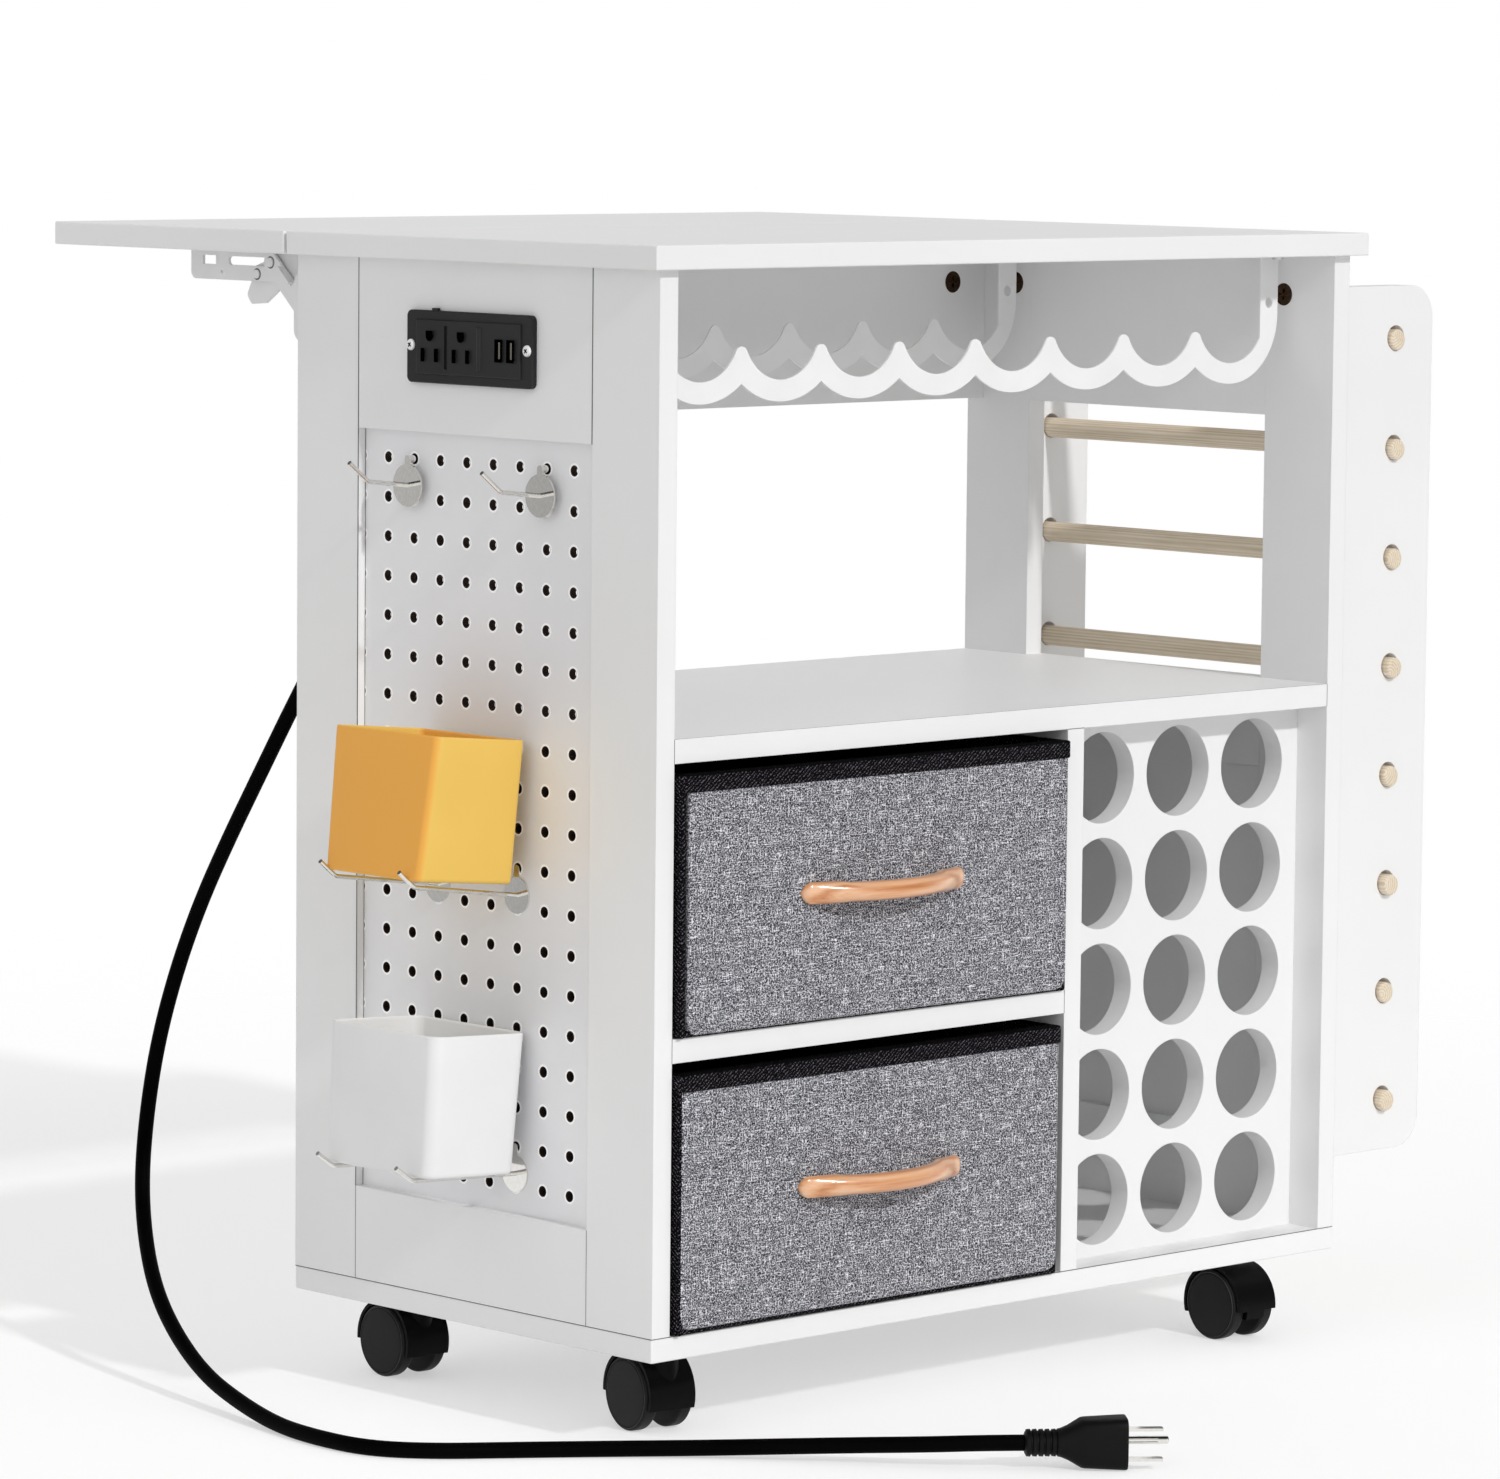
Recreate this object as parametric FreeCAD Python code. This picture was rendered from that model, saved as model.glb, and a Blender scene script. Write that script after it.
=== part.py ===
import FreeCAD, Part
import math
import os

V = FreeCAD.Vector

# Rolling craft cart. Lengths in millimetres. Built with x from the left face of the carcass to the right,
# y from its front edge to the back, z up from the floor, and moved to the centre of its footprint at the end.

# Carcass
carcass_width = 624.0
carcass_depth = 340.0
board = 15.0
base_height = 58.0
drawer_bay_height = 169.0
drawer_bay_width = 345.0
upper_bay_height = 285.0
stile_width = 60.0
top_rail_height = 108.0
low_rail_height = 60.0
edge_round = 1.0
overhang_side = 10.0
overhang_front = 8.0
thin_panel = 5.0
panel_recess = 6.0
groove_depth = 5.0
back_panel_inset = 5.0

# Fold-out leaf and its two locking brackets
leaf_depth = 237.0
leaf_gap = 2.5
bracket_inset = 19.0
sheet = 2.0
slip = 0.4
rivet_head = 1.0
pivot_y = 18.0
pivot_z = 22.0
pivot_r = 2.5
pin_clearance = 0.08
arm_start = 3.5
arm_length = 133.0
arm_drop = 20.0
arm_flange = 20.0
arm_corner = 5.0
lug_r = 8.0
slot_line = 14.7
slot_start = 35.7
slot_travel = 44.0
slot_half = 2.8
window_start = 95.5
window_length = 13.5
window_half = 2.9
peep_at = 89.5
peep_drop = 7.3
peep_r = 1.3
wall_pin_y = 10.0
wall_pin_z = 47.1
strut_half = 6.5
strut_lip = 4.0
strut_lip_start = 34.0
strut_lip_end = 10.0
wall_web_depth = 27.0
wall_web_over = 10.0
wall_flange_width = 22.0
wall_flange_over = 9.0
lever_pin_y = 53.3
lever_pin_z = 6.6
lever_tail = 19.6
lever_reach = 28.0
lever_top = 12.0

# Pegboard
peg_pitch = 25.0
peg_edge = 17.0
peg_hole_r = 3.2

# Grid of round holes for rolls
grid_inset = 26.0
grid_columns = 3
grid_rows = 5
grid_pitch_share_x = 0.3077
grid_pitch_share_z = 0.1969
grid_hole_share = 0.4316

# Scalloped racks of bent sheet under the top
rack_sheet = 1.5
rack_front_y = 40.0
rack_from_back = 57.0
rack_scallops = 8
rack_end = 22.6
rack_upright_out = 2.6
rack_drop = 85.0
rack_strip = 13.6
rack_under_r = 55.0
rack_cradle_r = 33.0
rack_peak_share = 0.88
rack_peak_rise = 4.0
rack_upright = 17.0
rack_hole_drop = 32.0
rack_hole_r = 3.5
rack_tab = 14.0

# Ear boards and dowels on the right side
ear_width = 88.0
ear_height = 585.0
ear_drop = 21.0
ear_inset = 3.0
ear_corner = 22.0
dowel_count = 8
dowel_r = 7.0
dowel_extra = 5.0
dowel_margin = 35.0
dowel_from_edge = 37.0
dowel_hole_r = 8.5
rest_gap = 0.3
dowel_stand_out = [2.6, 4.2, 3.4, 5.0, 3.8, 5.8, 3.0, 5.5]

# Outlet on the left top rail
plate_width = 118.0
plate_height = 45.4
plate_thick = 4.0
plate_corner = 4.0
outlet_width = 98.0
outlet_height = 34.0
outlet_proud = 1.2
outlet_inside = 30.0
outlet_play = 1.0
receptacle_at = [35.0, 5.5]
blade_half_gap = 6.35
blade_width = 2.0
blade_height = 7.5
ground_rise = 11.9
ground_r = 2.6
ground_up = 6.9
port_at = [-30.0, -41.0]
port_width = 5.4
port_height = 12.8
slot_depth = 7.0
groove_at = 20.4
groove_width = 3.0
groove_deep = 1.4
block_height = 27.0
ridge_at = -10.7
ridge_r = 2.6
ridge_proud = 1.0
tab_at = 33.0
tab_width = 5.0
outlet_screw_at = 54.9
outlet_screw_r = 2.6

# Power cord and plug
cord_r = 5.0
gland_length = 20.0
gland_r = 8.0
gland_at = 30.0
plug_height = 32.4
plug_width = 25.0
plug_waist = 30.2
plug_length = 28.0
plug_neck_length = 14.5
relief_length = 19.5
relief_r = 8.6
relief_ribs = 5
pin_half_gap = 9.3
pin_ground_gap = 12.0
pin_length = 21.5
ground_pin_length = 27.0
pin_thick = 1.8
pin_height = 7.0
ground_pin_r = 2.5

# Fabric drawers
drawer_play = 2.5
drawer_height = 162.0
drawer_back_gap = 14.0
drawer_proud = 6.0
fabric_wall = 5.0
drawer_corner = 9.0

# Bow handles
handle_length = 141.0
handle_height = 13.6
handle_reach = 26.0
handle_thick = 9.0
handle_foot = 17.0
handle_round = 3.5
handle_raise = 1.0

# Casters
caster_inset_x = 59.0
caster_inset_y = 53.0
caster_trail = 15.5
caster_angles = {"fl": -9.0, "rl": -3.0, "fr": 176.0, "rr": 192.0}
mount_plate = 38.0
mount_thick = 2.5
mount_hole_pitch = 28.0
mount_hole_r = 2.2
race_height = 3.0
race_r = 12.0
wheel_r = 23.5
wheel_width = 9.6
wheel_gap_half = 8.3
wheel_round = 2.0
hub_dish = 1.2
hood_skin = 2.3
hood_play = 1.2
hood_half_width = 16.8
web_half_width = 8.0
hood_low_front = 8.0
hood_low_back = 2.0
neck_r = 9.5
axle_r = 4.0
axle_play = 0.06

# Pegboard hooks and bins
wire_r = 1.5
top_hook_tilt = 6.0
hook_bend = 32.0
hook_bend_r = 7.0
hook_disc_r = 13.4
bin_disc_r = 11.5
hook_disc = 1.2
short_reach = 33.0
short_tip = 20.0
short_stand = 5.0
long_reach = 85.5
long_tip = 16.0
prong_r = 2.4
top_hook_columns = [6, 1]
bin_hook_columns = [2, 5]
top_hook_row = 0
lower_bin_rows_up = 2
top_hook_drop = 4.0
upper_bin_drop = 4.3
lower_bin_drop = 4.3
upper_hook_tilt = 7.7
lower_hook_tilt = 3.0
upper_bin_tilt = 5.4
lower_bin_tilt = 3.0
bin_depth = 80.0
bin_width = 98.0
bin_height = 89.3
bin_taper = -1.0
bin_edge = 1.6
bin_wall = 1.8
bin_corner = 11.0
bin_inner_corner = 4.0

# Cam locks and screws
cam_r = 7.5
cam_depth = 10.0
cam_drop = 27.0
cam_from_end = 45.0
cam_back_from_end = 31.5
screw_head_r = 4.0
screw_head = 1.6

# Levels and lines worked out from the sizes above
base_top = base_height + board
low_shelf = base_top + drawer_bay_height
low_shelf_top = low_shelf + board
mid_shelf = low_shelf_top + drawer_bay_height
mid_shelf_top = mid_shelf + board
under_top = mid_shelf_top + upper_bay_height
top = under_top + board
inner_left = board
inner_right = carcass_width - board
divider_x = inner_left + drawer_bay_width
top_rail_low = under_top - top_rail_height
low_rail_top = base_top + low_rail_height
front_stile_in = stile_width
rear_stile_in = carcass_depth - stile_width
back_panel_y = carcass_depth - back_panel_inset - thin_panel
mid_x = carcass_width / 2
mid_y = carcass_depth / 2
peg_face = panel_recess
peg_columns = int((rear_stile_in - front_stile_in - 2 * peg_edge) / peg_pitch) + 1
peg_rows = int((top_rail_low - low_rail_top - 2 * peg_edge) / peg_pitch) + 1
lower_bin_row = peg_rows - lower_bin_rows_up
upper_bin_row = peg_rows // 2 + 1
peg_first_y = mid_y - (peg_columns - 1) * peg_pitch / 2
peg_top_z = (top_rail_low + low_rail_top) / 2 + (peg_rows - 1) * peg_pitch / 2
ear_top = under_top - ear_drop
ear_outer = carcass_width + ear_width
grid_bay_width = inner_right - divider_x - board
grid_bay_height = mid_shelf - base_top
grid_pitch_x = grid_bay_width * grid_pitch_share_x
grid_pitch_z = grid_bay_height * grid_pitch_share_z
grid_hole_r = grid_hole_share * min(grid_pitch_x, grid_pitch_z)
rack_rear_y = carcass_depth - rack_from_back
rack_pitch = (inner_right - inner_left - 2 * rack_end) / rack_scallops
dowel_length = carcass_depth + dowel_extra
drawer_depth = back_panel_y + drawer_proud - drawer_back_gap
outlet_z = top_rail_low + top_rail_height / 2


def box(x0, x1, y0, y1, z0, z1):
    return Part.makeBox(x1 - x0, y1 - y0, z1 - z0, V(x0, y0, z0))


def rod(start, end, radius):
    return Part.makeCylinder(radius, (end - start).Length, start, end - start)


def join(shapes):
    whole = shapes[0]
    for shape in shapes[1:]:
        whole = whole.fuse(shape)
    return whole.removeSplitter()


def cut(shape, tools):
    return shape.cut(Part.makeCompound(tools))


def along(edge, axis):
    """True for a straight edge that runs along one axis."""
    if not isinstance(edge.Curve, (Part.Line, Part.LineSegment)):
        return False
    way = edge.tangentAt(edge.FirstParameter)
    return abs(abs(way.dot(axis)) - 1) < 1e-6


def rounded(shape, radius, axes):
    """Fillet the straight edges that run along the given axes."""
    edges = [e for e in shape.Edges if any(along(e, a) for a in axes)]
    return shape.makeFillet(radius, edges)


def eased_board(x0, x1, y0, y1, z0, z1):
    return rounded(box(x0, x1, y0, y1, z0, z1), edge_round, [V(1, 0, 0), V(0, 1, 0), V(0, 0, 1)])


def mirrored(shape):
    """The same piece on the other side of the cart."""
    return shape.mirror(V(mid_x, 0, 0), V(1, 0, 0))


def face_from(edges):
    return Part.Face(Part.Wire(edges))


def line(a, b):
    return Part.LineSegment(a, b).toShape()


def arc(a, b, c):
    return Part.Arc(a, b, c).toShape()


def closed_outline(points):
    return Part.Face(Part.makePolygon(points + [points[0]]))


# Boards of the carcass

def top_board():
    return eased_board(-overhang_side, carcass_width + overhang_side, -overhang_front, carcass_depth, under_top, top)


def leaf_board():
    start = carcass_depth + leaf_gap
    return eased_board(-overhang_side, carcass_width + overhang_side, start, start + leaf_depth, under_top, top)


def base_board():
    return eased_board(0, carcass_width, 0, carcass_depth, base_height, base_top)


def middle_shelf():
    return box(inner_left, inner_right, 0, carcass_depth, mid_shelf, mid_shelf_top)


def drawer_shelf():
    return box(inner_left, divider_x, 0, back_panel_y, low_shelf, low_shelf_top)


def divider():
    return box(divider_x, divider_x + board, 0, back_panel_y, base_top, mid_shelf)


# Side frames: stiles, rails and the thin panels in their grooves

def side_groove(low, high):
    """Groove for a thin panel, reaching into the stiles and rails around its window."""
    return box(panel_recess, panel_recess + thin_panel, front_stile_in - groove_depth,
               rear_stile_in + groove_depth, low - groove_depth, high + groove_depth)


def thin_side_panel(low, high):
    return side_groove(low, high)


def cam_pocket(x, y, z, way):
    return rod(V(x, y, z), V(x, y, z) + way * cam_depth, cam_r)


def left_cams():
    z = under_top - cam_drop
    return [cam_pocket(inner_left, y, z, V(-1, 0, 0)) for y in (cam_from_end, carcass_depth - cam_from_end)]


def back_cams():
    z = under_top - cam_drop
    y = carcass_depth - board
    return [cam_pocket(x, y, z, V(0, 1, 0)) for x in (inner_left + cam_back_from_end, inner_right - cam_back_from_end)]


def back_groove():
    return box(inner_left - groove_depth, inner_right + groove_depth, back_panel_y, back_panel_y + thin_panel,
               base_top, mid_shelf)


def front_stile(panel_low, panel_high):
    stile = box(0, board, 0, stile_width, base_top, under_top)
    return cut(stile, [side_groove(panel_low, panel_high)] + left_cams())


def rear_stile(panel_low, panel_high):
    stile = box(0, board, rear_stile_in, carcass_depth, base_top, under_top)
    return cut(stile, [side_groove(panel_low, panel_high), back_groove()] + left_cams())


def rail(low, high):
    return box(0, board, front_stile_in, rear_stile_in, low, high)


def outlet_opening():
    half_w = outlet_width / 2 + outlet_play
    half_h = outlet_height / 2 + outlet_play
    return box(-1, board + 1, mid_y - half_w, mid_y + half_w, outlet_z - half_h, outlet_z + half_h)


def left_top_rail():
    return cut(rail(top_rail_low, under_top), [side_groove(low_rail_top, top_rail_low), outlet_opening()])


def left_bottom_rail():
    return cut(rail(base_top, low_rail_top), [side_groove(low_rail_top, top_rail_low)])


def peg_point(column, row, x=0.0):
    return V(x, peg_first_y + column * peg_pitch, peg_top_z - row * peg_pitch)


def pegboard():
    panel = thin_side_panel(low_rail_top, top_rail_low)
    holes = []
    for column in range(peg_columns):
        for row in range(peg_rows):
            start = peg_point(column, row, panel_recess - 1)
            holes.append(rod(start, start + V(thin_panel + 2, 0, 0), peg_hole_r))
    return cut(panel, holes)


def right_panel_top():
    return mid_shelf_top - low_rail_height


def right_front_stile():
    return mirrored(front_stile(low_rail_top, right_panel_top()))


def right_rear_stile():
    return mirrored(rear_stile(low_rail_top, right_panel_top()))


def right_top_rail():
    return mirrored(rail(top_rail_low, under_top))


def right_lower_rails():
    groove = side_groove(low_rail_top, right_panel_top())
    lower = rail(base_top, low_rail_top).cut(groove)
    upper = rail(right_panel_top(), mid_shelf_top).cut(groove)
    return mirrored(Part.makeCompound([lower, upper]))


def right_lower_panel():
    return mirrored(thin_side_panel(low_rail_top, right_panel_top()))


def back_top_rail():
    back = box(inner_left, inner_right, carcass_depth - board, carcass_depth, top_rail_low, under_top)
    return cut(back, back_cams())


def back_panel():
    return back_groove()


# Roll storage

def roll_grid(front):
    plate = box(divider_x + board, inner_right, front, front + board, base_top, mid_shelf)
    centre_x = (divider_x + board + inner_right) / 2
    centre_z = (base_top + mid_shelf) / 2
    holes = []
    for column in range(grid_columns):
        for row in range(grid_rows):
            x = centre_x + (column - (grid_columns - 1) / 2) * grid_pitch_x
            z = centre_z + (row - (grid_rows - 1) / 2) * grid_pitch_z
            holes.append(rod(V(x, front - 1, z), V(x, front + board + 1, z), grid_hole_r))
    return cut(plate, holes)


def rack_cusp(i):
    return mid_x + (i - rack_scallops / 2) * rack_pitch


def quarter_point(x, low, run):
    """A point halfway along the arc under a scallop, from its lowest point to the cusp."""
    turn = math.asin(abs(run) / rack_under_r) / 2
    return V(x + math.copysign(rack_under_r * math.sin(turn), run), 0, low + rack_under_r * (1 - math.cos(turn)))


def rack_outline():
    """Scalloped strip between two uprights: round cradles above, wider arcs below that meet in cusps.

    The last arc at each end runs on up into the upright's outer edge."""
    half = rack_pitch / 2
    low = under_top - rack_drop
    cusp_z = low + rack_under_r - math.sqrt(rack_under_r ** 2 - half ** 2)
    cradle_z = low + rack_strip + rack_cradle_r
    reach = rack_peak_share * rack_cradle_r
    shoulder = cradle_z - math.sqrt(rack_cradle_r ** 2 - reach ** 2)
    side = rack_upright / 2
    out = rack_upright_out
    inner = half - side + out
    inner_z = cradle_z - math.sqrt(rack_cradle_r ** 2 - min(inner, reach) ** 2)
    sweep = half + side + out
    bend = sweep * math.sqrt(0.5)

    def p(x, z):
        return V(x, 0, z)

    left = rack_cusp(0)
    right = rack_cusp(rack_scallops)
    top_of_bend = low + sweep
    edges = [line(p(left - side - out, under_top), p(left - side - out, top_of_bend)),
             arc(p(left - side - out, top_of_bend), p(left + half - bend, top_of_bend - bend), p(left + half, low)),
             arc(p(left + half, low), quarter_point(left + half, low, half), p(rack_cusp(1), cusp_z))]
    for i in range(1, rack_scallops - 1):
        a, b = rack_cusp(i), rack_cusp(i + 1)
        edges.append(arc(p(a, cusp_z), p((a + b) / 2, low), p(b, cusp_z)))
    last_cusp = rack_cusp(rack_scallops - 1)
    edges += [arc(p(last_cusp, cusp_z), quarter_point(right - half, low, -half), p(right - half, low)),
              arc(p(right - half, low), p(right - half + bend, top_of_bend - bend), p(right + side + out, top_of_bend)),
              line(p(right + side + out, top_of_bend), p(right + side + out, under_top)),
              line(p(right + side + out, under_top), p(right - side + out, under_top)),
              line(p(right - side + out, under_top), p(right - side + out, inner_z))]
    for i in reversed(range(rack_scallops)):
        middle = rack_cusp(i) + half
        last = i == 0
        first = i == rack_scallops - 1
        a = p(middle + inner, inner_z) if first else p(middle + reach, shoulder)
        b = p(middle - inner, inner_z) if last else p(middle - reach, shoulder)
        edges.append(arc(a, p(middle, low + rack_strip), b))
        if not last:
            edges.append(arc(b, p(rack_cusp(i), shoulder + rack_peak_rise),
                             p(rack_cusp(i) - half + reach, shoulder)))
    edges += [line(p(left + side - out, inner_z), p(left + side - out, under_top)),
              line(p(left + side - out, under_top), p(left - side - out, under_top))]
    return face_from(edges)


def rack_uprights():
    return rack_cusp(0) - rack_upright_out, rack_cusp(rack_scallops) + rack_upright_out


def roll_rack(y):
    """One sheet with a tab at each upright, bent forward under the top and screwed up into it."""
    plate = rack_outline().extrude(V(0, rack_sheet, 0))
    plate.translate(V(0, y, 0))
    side = rack_upright / 2
    pieces = [plate]
    holes = []
    for x in rack_uprights():
        pieces.append(box(x - side, x + side, y - rack_tab, y, under_top - rack_sheet, under_top))
        z = under_top - rack_hole_drop
        holes.append(rod(V(x, y - 1, z), V(x, y + rack_sheet + 1, z), rack_hole_r))
    return cut(join(pieces), holes)


def dowel_centre(i):
    step = (ear_height - 2 * dowel_margin) / (dowel_count - 1)
    return V(ear_outer - dowel_from_edge, 0, ear_top - dowel_margin - i * step)


def ear_board(front):
    ear = box(carcass_width, ear_outer, front, front + board, ear_top - ear_height, ear_top)
    corners = [e for e in ear.Edges if along(e, V(0, 1, 0)) and e.BoundBox.XMin > ear_outer - 1e-6]
    ear = ear.makeFillet(ear_corner, corners)
    holes = []
    for i in range(dowel_count):
        c = dowel_centre(i)
        holes.append(rod(V(c.x, front - 1, c.z), V(c.x, front + board + 1, c.z), dowel_hole_r))
    return cut(ear, holes)


def dowel(i):
    """A loose dowel: it lies at the bottom of its two holes, its ends slightly chamfered."""
    c = dowel_centre(i)
    z = c.z - (dowel_hole_r - dowel_r - rest_gap)
    start = ear_inset - dowel_stand_out[i]
    stick = rod(V(c.x, start, z), V(c.x, start + dowel_length, z), dowel_r)
    return stick.makeChamfer(1.0, [e for e in stick.Edges if isinstance(e.Curve, Part.Circle)])


# Power outlet, cord and plug

def outlet_faceplate():
    half_w = plate_width / 2
    half_h = plate_height / 2
    plate = box(-plate_thick, 0, mid_y - half_w, mid_y + half_w, outlet_z - half_h, outlet_z + half_h)
    plate = rounded(plate, plate_corner, [V(1, 0, 0)])
    outer = [e for e in plate.Edges if e.BoundBox.XMax < -plate_thick + 1e-6]
    plate = plate.makeFillet(1.0, outer)
    window_w = outlet_width / 2
    window_h = outlet_height / 2
    window = box(-plate_thick - 1, 1, mid_y - window_w, mid_y + window_w, outlet_z - window_h, outlet_z + window_h)
    tab_y = mid_y + tab_at
    tab = box(-plate_thick + 0.6, -1.0, tab_y - tab_width / 2, tab_y + tab_width / 2,
              outlet_z + half_h - 1, outlet_z + half_h + 1.6)
    return join([plate.cut(window), tab])


def outlet_housing():
    """Two grounded receptacles and two charging ports in one body that passes through the rail."""
    half_w = outlet_width / 2
    half_h = outlet_height / 2
    face = -plate_thick - outlet_proud
    body = box(face, board + outlet_inside, mid_y - half_w, mid_y + half_w, outlet_z - half_h, outlet_z + half_h)
    body = body.makeFillet(0.8, [e for e in body.Edges if e.BoundBox.XMax < face + 1e-6])
    cuts = []
    blade_z = outlet_z + ground_up - ground_rise
    for at in receptacle_at:
        y = mid_y + at
        for side in (-1, 1):
            blade_y = y + side * blade_half_gap
            cuts.append(box(face - 1, face + slot_depth, blade_y - blade_width / 2, blade_y + blade_width / 2,
                            blade_z - blade_height / 2, blade_z + blade_height / 2))
        cuts.append(rod(V(face - 1, y, outlet_z + ground_up), V(face + slot_depth, y, outlet_z + ground_up), ground_r))
    for at in port_at:
        y = mid_y + at
        cuts.append(box(face - 1, face + slot_depth, y - port_width / 2, y + port_width / 2,
                        outlet_z - port_height / 2, outlet_z + port_height / 2))
    groove_y = mid_y + groove_at
    cuts.append(box(face - 1, face + groove_deep, groove_y - groove_width / 2, groove_y + groove_width / 2,
                    outlet_z - block_height / 2, outlet_z + block_height / 2))
    ridge_y = mid_y + ridge_at
    centre = face + ridge_r - ridge_proud
    ridge = rod(V(centre, ridge_y, outlet_z - block_height / 2), V(centre, ridge_y, outlet_z + block_height / 2), ridge_r)
    return join([cut(body, cuts), ridge.common(box(face - ridge_r, face + 0.5, ridge_y - ridge_r, ridge_y + ridge_r,
                                                   outlet_z - block_height, outlet_z + block_height))])


def outlet_screws():
    heads = []
    for side in (-1, 1):
        y = mid_y + side * outlet_screw_at
        start = V(-plate_thick, y, outlet_z)
        heads.append(rod(start, start - V(1.0, 0, 0), outlet_screw_r))
    return heads


def gland_top():
    return V(board + outlet_inside - gland_r - 2, mid_y + gland_at, outlet_z - outlet_height / 2)


def cord_gland():
    """Tapered strain relief with two grooves, under the housing."""
    top_point = gland_top()
    body = Part.makeCone(cord_r + 1.2, gland_r, gland_length, top_point - V(0, 0, gland_length), V(0, 0, 1))
    grooves = []
    for step in (0.35, 0.65):
        z = top_point.z - gland_length * step
        ring = rod(V(top_point.x, top_point.y, z - 0.8), V(top_point.x, top_point.y, z + 0.8), gland_r + 2)
        core = rod(V(top_point.x, top_point.y, z - 0.8), V(top_point.x, top_point.y, z + 0.8), cord_r + 0.9)
        grooves.append(ring.cut(core))
    return cut(body, grooves)


def cord_points():
    """The route of the cord, chosen by hand: down inside, out at the back, round the left side to the front."""
    start = gland_top() - V(0, 0, gland_length)
    inside = [(0, 0, -38), (0, 22, -80), (0, 62, -109), (-2, 108, -129), (-6, 145, -158)]
    behind = [(25, 373, 434), (19, 399, 388), (14, 426, 342), (11, 452, 297), (7, 472, 250), (-2, 480, 203),
              (-17, 473, 157), (-37, 453, 117), (-57, 424, 85), (-76, 389, 58), (-90, 350, 36), (-104, 303, 19),
              (-115, 254, 10)]
    on_floor = [(-125, 206), (-131, 160), (-128, 117), (-105, 85), (-66, 56), (-20, 21)]
    to_plug = [(24, -20, 6), (55, -57, 8.5), (84, -96, 11.5), (109, -131, 14), (131, -158, plug_height / 2),
               (150, -173.5, plug_height / 2)]
    points = [start] + [start + V(*step) for step in inside] + [V(*p) for p in behind]
    return points + [V(x, y, cord_r) for x, y in on_floor] + [V(*p) for p in to_plug]


def turn_radius(before, point, after):
    """As large as the two runs allow: 0.45 of the shorter run over the tangent of half the turn."""
    turn = (point - before).getAngle(after - point)
    return 0.45 * min((point - before).Length, (after - point).Length) / math.tan(turn / 2)


def cord_path(points):
    edges = []
    start = points[0]
    for before, point, after in zip(points, points[1:], points[2:]):
        radius = turn_radius(before, point, after)
        turn = (point - before).getAngle(after - point)
        back = (before - point).normalize()
        ahead = (after - point).normalize()
        tangent = radius * math.tan(turn / 2)
        middle = (back + ahead).normalize() * (radius / math.cos(turn / 2) - radius)
        edges.append(line(start, point + back * tangent))
        edges.append(arc(point + back * tangent, point + middle, point + ahead * tangent))
        start = point + ahead * tangent
    edges.append(line(start, points[-1]))
    return Part.Wire(edges)


def power_cord():
    points = cord_points()
    path = cord_path(points)
    section = Part.Wire(Part.makeCircle(cord_r, points[0], points[1] - points[0]))
    tube = path.makePipeShell([section], True, True)
    radii = [turn_radius(a, b, c) for a, b, c in zip(points, points[1:], points[2:])]
    expected = math.pi * cord_r ** 2 * path.Length
    print("cord length", round(path.Length, 1), "volume over expected", round(tube.Volume / expected, 4))
    print("cord radii", [round(r) for r in radii])
    return tube


def plug_axis():
    a, b = cord_points()[-2:]
    return b, (b - a).normalize()


def on_plug_axis(shape):
    """Turn a shape made along +x from the origin onto the end of the cord."""
    start, way = plug_axis()
    shape.rotate(V(0, 0, 0), V(0, 0, 1), math.degrees(math.atan2(way.y, way.x)))
    shape.translate(start)
    return shape


def plug_section(x, width, height, corner):
    slab = box(x, x + 1, -width / 2, width / 2, -height / 2, height / 2)
    slab = rounded(slab, corner, [V(1, 0, 0)])
    return min(slab.Faces, key=lambda f: f.CenterOfMass.x).OuterWire


def plug_body():
    """Moulded plug: ribbed relief, a neck that widens and a grip block that grows towards its face."""
    relief = rod(V(0, 0, 0), V(relief_length, 0, 0), relief_r)
    pitch = relief_length / relief_ribs
    grooves = []
    for i in range(relief_ribs - 1):
        x = (i + 1) * pitch
        ring = rod(V(x - pitch / 6, 0, 0), V(x + pitch / 6, 0, 0), relief_r + 1)
        grooves.append(ring.cut(rod(V(x - pitch / 6, 0, 0), V(x + pitch / 6, 0, 0), relief_r - 1.2)))
    relief = cut(relief, grooves)
    neck_end = relief_length + plug_neck_length
    face = neck_end + plug_length
    slim = 2 * relief_r
    corner = plug_width / 4
    waist_width = plug_width * plug_waist / plug_height
    waist = plug_section(neck_end, waist_width, plug_waist, corner)
    neck = Part.makeLoft([plug_section(relief_length, slim, slim, slim * 0.4), waist], True, True)
    block = Part.makeLoft([waist, plug_section(face, plug_width, plug_height, corner)], True, True)
    return on_plug_axis(join([relief, neck, block]))


def plug_pins():
    """Two flat blades one above the other and a longer round ground pin beside them."""
    face = relief_length + plug_neck_length + plug_length
    blade_y = -pin_ground_gap / 2
    pins = []
    for side in (-1, 1):
        z = side * pin_half_gap
        pins.append(box(face, face + pin_length, blade_y - pin_height / 2, blade_y + pin_height / 2,
                        z - pin_thick / 2, z + pin_thick / 2))
    pin = rod(V(face, -blade_y, 0), V(face + ground_pin_length, -blade_y, 0), ground_pin_r)
    end = [e for e in pin.Edges if isinstance(e.Curve, Part.Circle) and e.BoundBox.XMin > face + 1]
    pins.append(pin.makeFillet(ground_pin_r * 0.6, end))
    return on_plug_axis(Part.makeCompound(pins))


# Drawers and handles

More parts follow.
